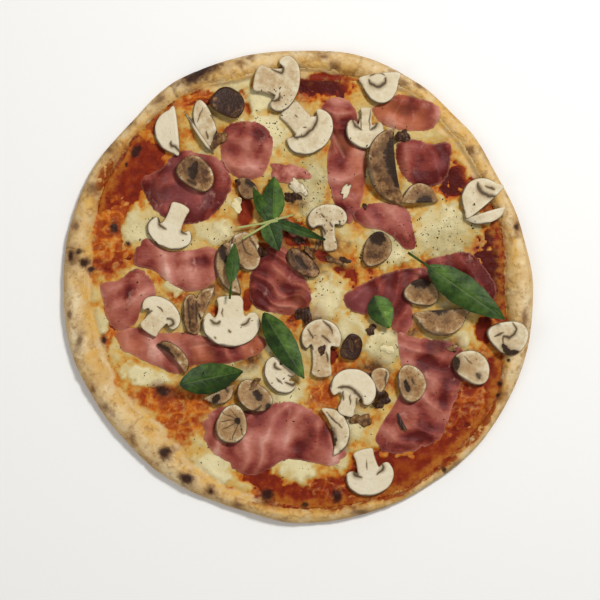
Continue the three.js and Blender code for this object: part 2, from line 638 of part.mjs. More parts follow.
// A thin leaf, its edges below its midrib, with a slow wave along it, laid over the surface.
function leafGeometry({ foot, tip, wide, stalk = 0 }, surface) {
  const start = place(foot);
  const along = place(tip).sub(start);
  const across = new THREE.Vector2(-along.y, along.x).normalize();
  const parts = Array.from({ length: LEAF_ROWS + 1 }, (none, row) => row / LEAF_ROWS);
  const midrib = parts.map((part) => start.clone().addScaledVector(along, part));
  const below = softHeights(midrib, wide * SQUARE / 3, surface);
  const points = [];
  const bottom = [];
  parts.forEach((part, row) => {
    const half = leafHalfWidth(part, wide, stalk) * SQUARE;
    for (const side of LEAF_COLUMNS) {
      points.push(midrib[row].clone().addScaledVector(across, side * half));
      const drop = LEAF_ARCH * side * side * Math.min(1, half / 6);
      bottom.push(below[row] + LEAF_WAVE * Math.sin(part * TAU + side) - drop);
    }
  });
  const columns = LEAF_COLUMNS.length;
  const triangles = [];
  for (let row = 0; row < LEAF_ROWS; row++) {
    for (let k = 0; k < columns - 1; k++) {
      const a = row * columns + k;
      triangles.push([a, a + columns, a + columns + 1], [a, a + columns + 1, a + 1]);
    }
  }
  const border = [];
  for (let row = 0; row < LEAF_ROWS; row++) border.push(row * columns);
  for (let k = 0; k < columns - 1; k++) border.push(LEAF_ROWS * columns + k);
  for (let row = LEAF_ROWS; row > 0; row--) border.push(row * columns + columns - 1);
  for (let k = columns - 1; k > 0; k--) border.push(k);
  return sheetGeometry({ points, triangles, border }, bottom, bottom.map((z) => z + LEAF_THICKNESS));
}

// ---------------------------------------------------------------- joining with manifold-3d

const wasm = await Module();
wasm.setup();

function toSolid(mesh) {
  mesh.updateMatrixWorld(true);
  const bare = mesh.geometry.clone().applyMatrix4(mesh.matrixWorld);
  bare.deleteAttribute('normal');
  bare.deleteAttribute('uv');
  const merged = mergeVertices(bare, 1e-4);
  return new wasm.Manifold(new wasm.Mesh({
    numProp: 3,
    vertProperties: new Float32Array(merged.getAttribute('position').array),
    triVerts: new Uint32Array(merged.index.array),
  }));
}

function toGeometry(solid) {
  const { vertProperties, triVerts } = solid.getMesh();
  const geometry = new THREE.BufferGeometry();
  geometry.setAttribute('position', new THREE.Float32BufferAttribute(vertProperties, 3));
  geometry.setIndex([...triVerts]);
  geometry.computeVertexNormals();
  return geometry;
}

// Several meshes as one solid. A pocket that they close in between them is filled.
function joined(meshes) {
  const add = (sum, solid) => sum.add(solid);
  const skins = meshes.map(toSolid).reduce(add).decompose();
  return toGeometry(skins.filter((skin) => skin.volume() > 0).reduce(add));
}

// ---------------------------------------------------------------- laying the pizza

const MAP_MARGIN = 12;             // of the map of heights, beyond the pizza
const MAP_CELL = 1;

const group = new THREE.Group();
const surface = new LaidSurface(PIZZA_DIAMETER / 2 + MAP_MARGIN, MAP_CELL);
const numbered = (word, i) => `${word}_${String(i + 1).padStart(2, '0')}`;

// A layer or a soft slice, which already has its shape on what lies below it.
function lay(name, geometry, look) {
  const mesh = new THREE.Mesh(geometry, material(look));
  mesh.name = name;
  surface.cover(mesh);
  group.add(mesh);
}

// A piece that keeps its shape and rests on what lies below it.
function layStiff(name, mesh) {
  mesh.name = name;
  surface.rest(mesh);
  group.add(mesh);
}

lay('dough', doughGeometry(), LOOK.dough);
lay('tomato_sauce', sauceGeometry(), LOOK.sauce);
lay('melted_cheese', cheeseGeometry(), LOOK.cheese);

HAM_SLICES.forEach((slice, i) => lay(numbered('ham_slice', i), hamGeometry(slice, surface), LOOK.ham));

MUSHROOM_SLICES.forEach((entry, i) => {
  layStiff(numbered('mushroom_slice', i), mushroomMesh(entry, surface));
});

BASIL_LEAVES.forEach((leaf, i) => {
  layStiff(numbered('basil_leaf', i), new THREE.Mesh(leafGeometry(leaf, surface), material(LOOK.basil)));
});
const sprigParts = BASIL_SPRIG.map((leaf) => new THREE.Mesh(leafGeometry(leaf, surface)));
layStiff('basil_sprig', new THREE.Mesh(joined(sprigParts), material(LOOK.basil)));

export default group;
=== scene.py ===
"""Looks of a ham and mushroom pizza: crust, sauce, melted cheese, ham, mushrooms, basil, herbs.

Metres, +Z up. Toppings keep the outline and the place of their solids. Each is cut from an even
grid of small squares, so that folds, gills, veins and browned spots can be worked out point by
point.
"""

import math

import bmesh
import bpy
import numpy as np
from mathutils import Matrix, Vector


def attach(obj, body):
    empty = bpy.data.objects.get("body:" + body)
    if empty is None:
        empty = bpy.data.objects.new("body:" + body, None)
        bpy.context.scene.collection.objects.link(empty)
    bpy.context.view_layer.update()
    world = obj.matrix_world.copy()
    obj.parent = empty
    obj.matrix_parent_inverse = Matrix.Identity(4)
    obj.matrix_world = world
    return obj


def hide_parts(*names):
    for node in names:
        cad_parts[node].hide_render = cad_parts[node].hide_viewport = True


bl_info = {
    "name": "Ham and mushroom pizza",
    "version": (1, 0, 0),
    "blender": (4, 5, 0),
    "location": "View3D > Sidebar > Pizza",
    "description": "Builds a baked pizza with ham, mushrooms and basil, and a plain stage for it",
    "category": "Object",
}

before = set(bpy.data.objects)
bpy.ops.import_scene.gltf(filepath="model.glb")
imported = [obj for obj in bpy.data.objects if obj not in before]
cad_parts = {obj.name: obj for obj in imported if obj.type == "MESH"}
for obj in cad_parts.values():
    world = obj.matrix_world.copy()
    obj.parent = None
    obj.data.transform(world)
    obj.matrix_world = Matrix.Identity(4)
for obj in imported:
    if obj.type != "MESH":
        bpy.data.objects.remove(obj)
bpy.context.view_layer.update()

MM = 0.001
TAU = math.tau

# ---------------------------------------------------------------- the plan grid

# The same plan as the solids have: 472 squares across 320 mm, x to the right, y towards the eater.
SQUARE = 0.320 / 472
PLAN_X, PLAN_Y = 299, 289

# Distances from the middle in plan squares, every 15 degrees anticlockwise from the right.
OUTER_EDGE = [236, 232, 230, 234, 240, 243, 240, 241, 243, 239, 240, 239,
              237, 238, 234, 233, 231, 230, 236, 236, 237, 238, 239, 238]
RIM_FOOT = [202, 207, 207, 212, 220, 216, 214, 212, 221, 221, 217, 211,
            208, 204, 202, 192, 204, 211, 216, 219, 224, 224, 222, 210]
CHEESE_EDGE = [178, 186, 206, 218, 232, 216, 222, 232, 218, 178, 178, 214,
               224, 226, 224, 222, 220, 210, 188, 180, 178, 184, 200, 192]

# The ways in which a crack runs up the rim, in degrees anticlockwise from the right.
CRACKS = [75, 122.5, 170, 219, 265, 308, 340]


def plan(points):
    """Plan squares to metres."""
    p = np.asarray(points, float)
    return np.stack([(p[..., 0] - PLAN_X) * SQUARE, (PLAN_Y - p[..., 1]) * SQUARE], -1)


def squares(x, y):
    """Metres to plan squares."""
    return x / SQUARE + PLAN_X, PLAN_Y - y / SQUARE


def around(readings, angle):
    """Value at any angle of a ring of readings, rounded by a cosine between two of them."""
    ring = np.asarray(readings, float)
    turn = (angle / TAU) % 1 * len(ring)
    before = np.floor(turn).astype(int) % len(ring)
    part = (1 - np.cos((turn - np.floor(turn)) * np.pi)) / 2
    return ring[before] * (1 - part) + ring[(before + 1) % len(ring)] * part


def ripple(angle, seed):
    """A smooth ripple round a circle, the same as the solids have."""
    waves = (np.sin(angle * (5 + seed % 3 + k * 4) + seed * (k + 1.7)) for k in range(4))
    return sum(waves) / 4


def cos_sin(degrees):
    """Cosine and sine of an angle in degrees."""
    return math.cos(math.radians(degrees)), math.sin(math.radians(degrees))


# ---------------------------------------------------------------- fields of numbers


def step(low, high, value):
    """0 below low, 1 above high, smooth between."""
    t = np.clip((value - low) / (high - low), 0, 1)
    return t * t * (3 - 2 * t)


def wander(x, y, size, seed):
    """Smooth noise between -1 and 1 with lumps of a size in metres."""
    table = np.random.default_rng(seed).uniform(-1, 1, (64, 64))
    u, v = x / size + 31.7, y / size + 17.3
    i, j = np.floor(u).astype(int), np.floor(v).astype(int)
    fu, fv = step(0, 1, u - i), step(0, 1, v - j)
    pick = lambda a, b: table[(j + b) % 64, (i + a) % 64]
    low = pick(0, 0) * (1 - fu) + pick(1, 0) * fu
    high = pick(0, 1) * (1 - fu) + pick(1, 1) * fu
    return low * (1 - fv) + high * fv


def rough(x, y, size, seed, layers=3):
    """Noise with finer noise on top of it."""
    c, s = math.cos(0.6), math.sin(0.6)
    total, part = 0, 1
    for k in range(layers):
        total = total + part * wander(x, y, size, seed + k)
        x, y = c * x - s * y, s * x + c * y
        size, part = size * 0.5, part * 0.5
    return total / (2 - 2 * part)


def threads(x, y, size, seed):
    """Thin winding threads: 1 on a thread, 0 between them."""
    bent = wander(x + 0.6 * size * wander(x, y, size * 1.5, seed + 7), y, size, seed)
    return 1 - step(0, 0.22, np.abs(bent))


def reach_of(x, y, places, uneven):
    """How far out a point is of the nearest of some rounded patches: 0 amid one, 1 on its edge.

    Each patch is x, y, reach across, reach down and turn, in plan squares.
    """
    px, py = squares(x, y)
    ragged = 1 + uneven * wander(x, y, 0.004, 91) + 0.6 * uneven * wander(x, y, 0.0018, 92)
    found = np.full_like(px, 3.0)
    for cx, cy, rx, ry, turn in places:
        c, s = cos_sin(turn)
        u = ((px - cx) * c + (py - cy) * s) / rx
        v = ((py - cy) * c - (px - cx) * s) / ry
        found = np.minimum(found, np.hypot(u, v) * ragged)
    return found


def patches(x, y, places, soft):
    """1 inside some rounded patches, 0 outside them."""
    return 1 - step(1 - soft, 1 + soft, reach_of(x, y, places, 0.26))


def curve(before, starts, ends, after, parts):
    """Points of a smooth line that runs from each start to its end."""
    t = np.linspace(0, 1, parts, endpoint=False)[None, :, None]
    a, b, c, d = (q[:, None, :] for q in (before, starts, ends, after))
    line = 0.5 * (2 * b + (c - a) * t + (2 * a - 5 * b + 4 * c - d) * t**2
                  + (3 * b - a - 3 * c + d) * t**3)
    return line.reshape(-1, 2)


def stroke_reach(x, y, lines):
    """How far out a point is of the nearest of some strokes: 0 amid one, 0.5 on its edge.

    Each stroke is a width and its points, in plan squares. It bends smoothly and thins to its ends.
    """
    px, py = squares(x, y)
    px, py = px + 0.8 * wander(x, y, 0.0026, 95), py + 0.8 * wander(x, y, 0.0026, 96)
    found = np.full_like(px, 3.0)
    for width, points in lines:
        p = np.asarray(points, float)
        p = np.vstack([2 * p[0] - p[1], p, 2 * p[-1] - p[-2]])
        line = np.vstack([curve(p[:-3], p[1:-2], p[2:-1], p[3:], 6), p[-2:-1]])
        for k, ((ax, ay), (bx, by)) in enumerate(zip(line, line[1:])):
            dx, dy = bx - ax, by - ay
            t = np.clip(((px - ax) * dx + (py - ay) * dy) / (dx * dx + dy * dy + 1e-9), 0, 1)
            away = np.hypot(px - ax - t * dx, py - ay - t * dy)
            full = width * (0.4 + 0.6 * math.sin(math.pi * (k + 0.5) / (len(line) - 1)))
            found = np.minimum(found, away / full)
    return found


def smooth_loop(points, count):
    """Evenly spread points of a smooth closed line through a few points."""
    p = np.asarray(points, float)
    line = curve(np.roll(p, 1, 0), p, np.roll(p, -1, 0), np.roll(p, -2, 0), 12)
    gaps = np.hypot(*(np.roll(line, -1, 0) - line).T)
    along = np.concatenate([[0], np.cumsum(gaps)])
    closed = np.vstack([line, line[:1]])
    want = np.linspace(0, along[-1], count, endpoint=False)
    return np.stack([np.interp(want, along, closed[:, k]) for k in (0, 1)], -1)


def edge_distance(x, y, loop):
    """Distance to a closed line, above 0 inside it, and the nearest point on it."""
    best = np.full(len(x), 1e9)
    near = np.zeros((len(x), 2))
    odd = np.zeros(len(x), bool)
    for (ax, ay), (bx, by) in zip(loop, np.roll(loop, -1, 0)):
        dx, dy = bx - ax, by - ay
        t = np.clip(((x - ax) * dx + (y - ay) * dy) / (dx * dx + dy * dy + 1e-18), 0, 1)
        qx, qy = ax + t * dx, ay + t * dy
        away = (x - qx) ** 2 + (y - qy) ** 2
        closer = away < best
        best[closer] = away[closer]
        near[closer] = np.stack([qx, qy], -1)[closer]
        crosses = (ay > y) != (by > y)
        if crosses.any():
            level = ax + (y[crosses] - ay) * dx / dy
            odd[crosses] ^= x[crosses] < level
    return np.where(odd, 1, -1) * np.sqrt(best), near


# ---------------------------------------------------------------- what lies highest so far


class Laid:
    """Height of the top of everything laid so far, on an even grid over the table."""

    CELL = 0.0007
    HALF = 0.168

    def __init__(self):
        self.count = int(2 * self.HALF / self.CELL) + 1
        self.z = np.zeros((self.count, self.count))

    def spot(self, x, y):
        """Place on the grid."""
        return (x + self.HALF) / self.CELL, (y + self.HALF) / self.CELL

    def at(self, x, y, z=None):
        """Height at a point, even between the grid's points."""
        z = self.z if z is None else z
        u, v = self.spot(x, y)
        u, v = np.clip(u, 0, self.count - 1.001), np.clip(v, 0, self.count - 1.001)
        i, j = u.astype(int), v.astype(int)
        fu, fv = u - i, v - j
        low = z[j, i] * (1 - fu) + z[j, i + 1] * fu
        high = z[j + 1, i] * (1 - fu) + z[j + 1, i + 1] * fu
        return low * (1 - fv) + high * fv

    def draped(self, reach):
        """The heights, with dips narrower than the reach bridged softly."""
        z = self.z.copy()
        cells = max(1, round(reach / self.CELL))
        for axis in (0, 1):
            z = np.max([np.roll(z, k, axis) for k in range(-cells, cells + 1)], 0)
        weights = np.hanning(2 * cells + 3)[1:-1]
        weights /= weights.sum()
        for axis in (0, 1):
            z = sum(w * np.roll(z, k - cells, axis) for k, w in enumerate(weights))
        return z

    def cover(self, x, y, z, spread):
        """These points are on top from now on, each as far around it as the spread, in cells."""
        u, v = self.spot(x, y)
        for du in (-spread, 0, spread):
            for dv in (-spread, 0, spread):
                i = np.clip(np.rint(u + du).astype(int), 0, self.count - 1)
                j = np.clip(np.rint(v + dv).astype(int), 0, self.count - 1)
                np.maximum.at(self.z, (j, i), z)


laid = Laid()

# ---------------------------------------------------------------- blanks and finished pieces


def on_border(v):
    return any(e.is_boundary for e in v.link_edges)


def blank(loop, cell, wall=0):
    """A flat sheet cut to a loop from an even grid, with rings of wall below its edge if asked.

    The layer "ring" is 0 on the sheet and counts the rings of the wall.
    """
    low, high = loop.min(0) - cell, loop.max(0) + cell
    across, up = (int(n) + 1 for n in (high - low) / cell)
    bm = bmesh.new()
    ring = bm.verts.layers.float.new("ring")
    bmesh.ops.create_grid(bm, x_segments=across, y_segments=up, size=1)
    middle, half = (low + high) / 2, (high - low) / 2
    bmesh.ops.scale(bm, vec=(half[0], half[1], 1), verts=bm.verts)
    bmesh.ops.translate(bm, vec=(middle[0], middle[1], 0), verts=bm.verts)
    place = np.array([v.co[:2] for v in bm.verts])
    inside, _ = edge_distance(place[:, 0], place[:, 1], loop)
    bm.verts.ensure_lookup_table()
    out = [bm.verts[i] for i in np.flatnonzero(inside < -0.25 * cell)]
    bmesh.ops.delete(bm, geom=out, context="VERTS")
    for _ in range(2):
        pinched = [v for v in bm.verts if sum(e.is_boundary for e in v.link_edges) != 2 and
                   (not v.link_faces or on_border(v))]
        bmesh.ops.delete(bm, geom=pinched, context="VERTS")
    border = [v for v in bm.verts if on_border(v)]
    place = np.array([v.co[:2] for v in border])
    _, near = edge_distance(place[:, 0], place[:, 1], loop)
    for v, q in zip(border, near):
        v.co.xy = q
    inner = [v for v in bm.verts if not on_border(v)]
    bmesh.ops.smooth_vert(bm, verts=inner, factor=0.4, use_axis_x=True, use_axis_y=True)
    edges = [e for e in bm.edges if e.is_boundary]
    for k in range(wall):
        made = bmesh.ops.extrude_edge_only(bm, edges=edges)["geom"]
        new = {g for g in made if isinstance(g, bmesh.types.BMVert)}
        for v in new:
            v[ring] = k + 1
        edges = [e for e in bm.edges if e.is_boundary and all(v in new for v in e.verts)]
    if wall:
        bmesh.ops.holes_fill(bm, edges=edges, sides=0)
        bmesh.ops.recalc_face_normals(bm, faces=bm.faces)
    else:
        crisp_border(bm)
    return bm


def crisp_border(bm):
    """Keeps the shading of a sheet from bending over its edge."""
    for e in bm.edges:
        e.smooth = not e.is_boundary


class Piece:
    """A mesh whose points are moved all at once, with named values on its points."""

    def __init__(self, name, bm):
        self.mesh = bpy.data.meshes.new(name)
        bm.to_mesh(self.mesh)
        bm.free()
        self.name = name
        self.spread = 0.3
        place = np.empty(len(self.mesh.vertices) * 3)
        self.mesh.vertices.foreach_get("co", place)
        self.x, self.y, self.z = place.reshape(-1, 3).T.copy()
        self.ring = np.zeros(len(self.x))
        if "ring" in self.mesh.attributes:
            self.mesh.attributes["ring"].data.foreach_get("value", self.ring)

    def value(self, name, numbers):
        """One number for each point, read by the piece's material."""
        kept = self.mesh.attributes.new(name, "FLOAT", "POINT")
        kept.data.foreach_set("value", np.broadcast_to(numbers, self.x.shape).astype(np.float32))

    def set_down(self, cover=True):
        """Moves the mesh's points. Its top becomes part of what is laid."""
        place = np.stack([self.x, self.y, self.z], -1).astype(np.float32)
        self.mesh.vertices.foreach_set("co", place.ravel())
        self.mesh.update()
        if cover:
            top = self.ring == 0
            laid.cover(self.x[top], self.y[top], self.z[top], self.spread)

    def done(self, material, slot, replaces=(), cover=True, others=(), weld=False):
        """The finished object, joined with others of its kind if there are any."""
        self.set_down(cover)
        if others or weld:
            bm = bmesh.new()
            for each in (self, *others):
                bm.from_mesh(each.mesh)
            if weld:
                bmesh.ops.remove_doubles(bm, verts=bm.verts, dist=1e-7)
                bmesh.ops.recalc_face_normals(bm, faces=bm.faces)
            bm.to_mesh(self.mesh)
            bm.free()
        self.mesh.polygons.foreach_set("use_smooth", [True] * len(self.mesh.polygons))
        self.mesh.materials.append(material)
        thing = bpy.data.objects.new(self.name, self.mesh)
        bpy.context.collection.objects.link(thing)
        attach(thing, "root")
        if replaces:
            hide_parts(*replaces)
        return thing


def thicken(thing, thickness):
    """Gives a sheet its thickness, downwards."""
    shell = thing.modifiers.new("thickness", "SOLIDIFY")
    shell.thickness = thickness
    shell.offset = -1
    shell.use_even_offset = False


def cad_top(node):
    """The upward facets of a topping's solid: the loop round them and their points."""
    bm = bmesh.new()
    bm.from_mesh(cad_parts[node].data)
    bmesh.ops.remove_doubles(bm, verts=bm.verts, dist=1e-6)
    bmesh.ops.recalc_face_normals(bm, faces=bm.faces)
    down = [f for f in bm.faces if f.normal.z < 0.3]
    bmesh.ops.delete(bm, geom=down, context="FACES")
    points = np.array([v.co[:] for v in bm.verts])
    ways = {}
    for e in bm.edges:
        if e.is_boundary:
            corners = list(e.link_faces[0].verts)
            a, b = e.verts
            if corners[(corners.index(a) + 1) % len(corners)] is not b:
                a, b = b, a
            ways[a] = b
    loops = []
    while ways:
        loop, here = [], next(iter(ways))
        while here in ways:
            loop.append(here.co[:2])
            here = ways.pop(here)
        loops.append(np.array(loop))
    bm.free()
    return max(loops, key=len), points


# ---------------------------------------------------------------- materials


def tint(code):
    """A colour written as six hex digits, as Blender's linear red, green and blue."""
    parts = [int(code[i:i + 2], 16) / 255 for i in (0, 2, 4)]
    return tuple(c / 12.92 if c <= 0.04045 else ((c + 0.055) / 1.055) ** 2.4 for c in parts)


class Value:
    """A socket of a material, so that shader sums read as plain expressions."""

    def __init__(self, finish, socket):
        self.finish, self.socket = finish, socket

    def _sum(self, kind, *others):
        values = dict(enumerate((self, *others)))
        return self.finish.node("ShaderNodeMath", values, operation=kind)

    def __add__(self, other):
        return self._sum("ADD", other)

    def __mul__(self, other):
        return self._sum("MULTIPLY", other)

    def __sub__(self, other):
        return self._sum("SUBTRACT", other)

    def __rsub__(self, other):
        return self._sum("MULTIPLY_ADD", -1.0, other)

    __radd__ = __add__

    def over(self, low, high):
        """0 below low, 1 above high, smooth between."""
        values = {"Value": self, "From Min": low, "From Max": high}
        return self.finish.node("ShaderNodeMapRange", values, interpolation_type="SMOOTHSTEP")

    def within(self, high, low):
        """1 below low, 0 above high, smooth between."""
        values = {"Value": self, "From Min": low, "From Max": high, "To Min": 1.0, "To Max": 0.0}
        return self.finish.node("ShaderNodeMapRange", values, interpolation_type="SMOOTHSTEP")


class Finish:
    """One material under construction."""

    def __init__(self, name):
        self.material = bpy.data.materials.new(name)
        self.material.use_nodes = True
        self.tree = self.material.node_tree
        self.shader = self.tree.nodes["Principled BSDF"]
        self.place = self.node("ShaderNodeTexCoord", out="Object")

    def node(self, kind, values=None, out=0, stops=(), **settings):
        """Adds a node: its settings first, then its sockets."""
        made = self.tree.nodes.new(kind)
        for key, setting in settings.items():
            setattr(made, key, setting)
        for number, (at, code) in enumerate(stops):
            ramp = made.color_ramp.elements
            stop = ramp[number] if number < 2 else ramp.new(at)
            stop.position = at
            stop.color = (*(tint(code) if isinstance(code, str) else code[:3]), 1)
        for key, value in (values or {}).items():
            self.feed(made.inputs[key], value)
        return Value(self, made.outputs[out])

    def feed(self, socket, value):
        if isinstance(value, Value):
            self.tree.links.new(value.socket, socket)
        elif socket.type == "RGBA":
            socket.default_value = (*value[:3], 1.0)
        else:
            socket.default_value = value

    def marks(self, *names):
        """Values kept on the piece's points."""
        return [self.node("ShaderNodeAttribute", out="Fac", attribute_name=name) for name in names]

    def grain(self, size, detail=3.0, uneven=0.55, stretch=(1, 1, 1), shift=0.0):
        """Noise of a size in metres, between about 0 and 1."""
        at = self.place
        if stretch != (1, 1, 1) or shift:
            at = self.node("ShaderNodeMapping",
                           {"Vector": at, "Scale": stretch, "Location": (shift, shift, 0)})
        values = {"Vector": at, "Scale": 1 / size, "Detail": detail, "Roughness": uneven}
        return self.node("ShaderNodeTexNoise", values)

    def pores(self, size):
        """Distance to the nearest of many scattered points."""
        return self.node("ShaderNodeTexVoronoi", {"Vector": self.place, "Scale": 1 / size})

    def shades(self, value, *stops):
        """A colour for each value between 0 and 1."""
        return self.node("ShaderNodeValToRGB", {"Fac": value}, stops=stops)

    def blend(self, base, other, share):
        """One colour, and another over it by a share."""
        if isinstance(other, str):
            other = tint(other)
        made = self.tree.nodes.new("ShaderNodeMix")
        made.data_type = "RGBA"
        sockets = [s for s in made.inputs if s.enabled]
        for socket, value in zip(sockets, (share, base, other)):
            self.feed(socket, value)
        return Value(self, next(s for s in made.outputs if s.enabled))

    def relief(self, height, distance, strength=1.0, under=None):
        """A bump from a height, on top of another bump."""
        values = {"Height": height, "Distance": distance, "Strength": strength}
        if under:
            values["Normal"] = under
        return self.node("ShaderNodeBump", values)

    def done(self, colour, roughness, normal=None, shine=0.3):
        """Connects the shader."""
        self.feed(self.shader.inputs["Base Color"], colour)
        self.feed(self.shader.inputs["Roughness"], roughness)
        if normal:
            self.feed(self.shader.inputs["Normal"], normal)
        self.shader.inputs["Specular IOR Level"].default_value = shine
        return self.material


# ---------------------------------------------------------------- sizes and colours to change


def colour(name, code, words):
    return bpy.props.FloatVectorProperty(name=name, description=words, subtype="COLOR",
                                         default=tint(code), min=0, max=1)


def length(name, size, words):
    return bpy.props.FloatProperty(name=name, description=words, subtype="DISTANCE",
                                   unit="LENGTH", default=size, min=0, precision=5)


class PizzaSizes(bpy.types.PropertyGroup):
    """Sizes of the detail that the toppings and the crust get."""

    rim_height: length("Rim height", 13 * MM, "Crest of the rim above the table")
    blisters: length("Blisters", 0.55 * MM, "Height of the small bubbles in the rim")
    sauce: length("Sauce", 0.9 * MM, "Thickness of the tomato sauce")
    cheese: length("Cheese", 2.3 * MM, "Thickness of the cheese in its thickest pools")
    ham: length("Ham", 0.8 * MM, "Thickness of a slice of ham")
    ham_fold: length("Ham folds", 2.0 * MM, "Height of the folds in a slice of ham")
    leaf: length("Basil leaf", 0.45 * MM, "Thickness of a basil leaf")
    fleck: length("Herb flecks", 0.5 * MM, "Size of a fleck of dried herbs")
    fleck_count: bpy.props.IntProperty(name="Fleck count", default=1500, min=1,
                                       description="How many flecks of dried herbs there are")


class PizzaColours(bpy.types.PropertyGroup):
    """Main colours of the finishes."""

    crust: colour("Crust", "ceac76", "Baked dough")
    crust_pale: colour("Pale crust", "e0c99c", "Dough that took little colour")
    crust_golden: colour("Golden crust", "b58d56", "Dough that took more colour")
    crust_oil: colour("Oiled crust", "d3a756", "Dough that soaked up oil and cheese")
    char: colour("Char", "20110d", "Burnt spots")
    sauce: colour("Sauce", "7e2409", "Baked tomato sauce")
    sauce_dark: colour("Dark sauce", "4c0b02", "Tomato sauce where it is thick")
    orange: colour("Orange cheese", "b95c10", "Cheese that took up sauce and oil")
    cheese: colour("Cheese", "cbba88", "Melted cheese")
    cheese_pale: colour("Pale cheese", "e3d5a6", "The palest of the melted cheese")
    cheese_yellow: colour("Yellow cheese", "c99e4f", "Thin melted cheese")
    ham: colour("Ham", "a35a48", "Cooked ham")
    # ham_light is the fat and the painted highlight on the crests of the folds; ham_dark is the
    # painted shade in the hollows.
    ham_light: colour("Light ham", "d9a491", "Ham on a fold, and its fat")
    ham_dark: colour("Dark ham", "591713", "Ham in a hollow")
    mushroom: colour("Mushroom", "d6c7a6", "Flesh of a pale slice")
    mushroom_cooked: colour("Cooked mushroom", "8c653e", "Flesh of a browned slice")
    # Also the painted shade along the edge of a slice, on its side away from the light.
    mushroom_skin: colour("Mushroom skin", "2c1a0e", "Skin and gills")
    basil: colour("Basil", "2a4110", "Basil leaf")
    basil_light: colour("Light basil", "597a28", "Veins, and a leaf that faces the light")
    herb: colour("Herb", "3c3a16", "Dried herbs")
    floor: colour("Floor", "f2f1ee", "Floor of the stage")


def sizes():
    return bpy.context.scene.pizza_sizes


def colours():
    return bpy.context.scene.pizza_colours


# ---------------------------------------------------------------- crust

# The rim cut through, from its inner foot over its crest to its outer foot: the share of its width,
# and the share of its height.
RIM_ACROSS = [0, 0.2, 0.45, 0.7, 0.91, 1, 0.95, 0.82]
RIM_UP = [4 / 13, 0.62, 0.98, 0.93, 0.68, 0.38, 0.14, 0]
RIM_WIDTH = 20 * MM
BASE = 4 * MM
# Points round the rim, and rows of them across it.
RIM_POINTS = 1200
RIM_ROWS = 46
# Rings of points on the floor of the crust, as shares of the way to the rim.
FLOOR_ROWS = [0, 0.5, 0.8, 0.97]

# Patches, here and in later tables: middle, reach across, reach down and turn, in plan squares.
CHARRED = [
    (200, 72, 21, 8, -24), (71, 256, 3, 5, 0), (79, 252, 3, 3, 0), (84, 263, 5, 5, 20),
    (91, 269, 4, 3, 0), (165, 452, 7, 6, -15), (187, 478, 7, 5, 20), (211, 491, 3, 4, 0),
    (267, 495, 7, 7, 20), (305, 505, 4, 3, 0), (337, 497, 5, 7, 0), (516, 227, 3, 4, 0),
    (444, 470, 3, 3, 0), (498, 395, 2.5, 2.5, 0), (500, 384, 3, 3, 0),
    (114, 228, 4, 5, 20), (128, 244, 2, 2, 0), (104, 340, 3, 4, 0), (135, 152, 5, 7, 20),
    (163, 391, 8, 6, 20), (508, 360, 2, 2, 0), (139, 148, 3, 3, 0), (126, 164, 2, 3, 0),
]
BROWNED = [
    (200, 72, 34, 13, -24), (130, 123, 8, 7, -40), (93, 190, 8, 7, 0), (76, 226, 5, 9, 10),
    (74, 258, 11, 14, 0), (165, 452, 10, 9, 0), (187, 478, 11, 8, 20), (132, 439, 5, 9, -20),
    (210, 492, 9, 7, 0), (267, 497, 13, 9, 0), (337, 498, 9, 9, 0), (516, 227, 7, 11, 0),
    (80, 340, 5, 15, 10), (70, 313, 3, 10, 0), (93, 388, 4, 9, 0), (106, 407, 8, 5, 40),
    (323, 57, 9, 5, 0), (335, 67, 7, 8, 0), (403, 82, 10, 5, 30), (419, 86, 8, 4, 30),
    (470, 150, 7, 7, 0), (240, 63, 9, 5, 0), (250, 58, 8, 5, 0), (500, 395, 9, 10, 0),
    (160, 100, 11, 6, -40), (110, 150, 8, 10, 0), (524, 320, 6, 16, 0), (360, 512, 16, 7, 0),
    (440, 92, 12, 6, 40), (488, 150, 8, 14, -30), (455, 470, 14, 8, -40), (238, 505, 10, 6, 10),
]
OILY = [
    (156, 425, 24, 18, 40), (112, 192, 8, 18, -30), (94, 300, 9, 26, 0), (240, 76, 34, 11, -8),
    (325, 70, 26, 11, 0), (462, 140, 28, 15, 50), (512, 250, 6, 20, 0), (300, 510, 46, 7, 0),
    (205, 470, 26, 12, 30), (470, 470, 22, 8, -45), (98, 355, 12, 22, 0), (445, 112, 20, 9, 38),
    (88, 208, 10, 15, 10),
]
STAINED = [
    (432, 474, 38, 13, -32), (484, 424, 13, 36, 28), (497, 262, 4, 40, -6), (300, 501, 50, 6, 3),
    (503, 345, 4, 18, 5), (318, 79, 28, 5, 4), (104, 176, 7, 22, 25),
]


def rim_relief(x, y):
    """Relief of the rim: lumps, bubbles, dimples and a floury grain, in metres."""
    lumps = rough(x, y, 0.019, 5, 2)
    coarse = rough(x, y, 0.009, 3, 3)
    fine = rough(x, y, 0.003, 9, 2)
    bubbles = step(0.25, 0.75, rough(x, y, 0.0065, 21, 2))
    dimples = step(0.3, 0.8, rough(x, y, 0.005, 27, 2))
    return sizes().blisters * (2.1 * lumps + 1.3 * coarse + 0.5 * fine + 1.3 * bubbles
                               - 1.2 * dimples)


def evened(line):
    """A row of numbers with its corners rounded."""
    return np.convolve(np.pad(line, 3, "edge"), np.ones(7) / 7, "valid")


def cracked(x, y, angle):
    """1 in the cracks that run up the rim, 0 beside them."""
    crack = np.zeros_like(angle)
    for way in CRACKS:
        turn = (angle - math.radians(way) + np.pi) % TAU - np.pi
        bent = turn * 0.15 + 0.0014 * wander(x, y, 0.006, int(way))
        crack = np.maximum(crack, 1 - step(0.0, 0.001, np.abs(bent)))
    return crack * step(-0.5, 0.3, wander(x, y, 0.012, 15))


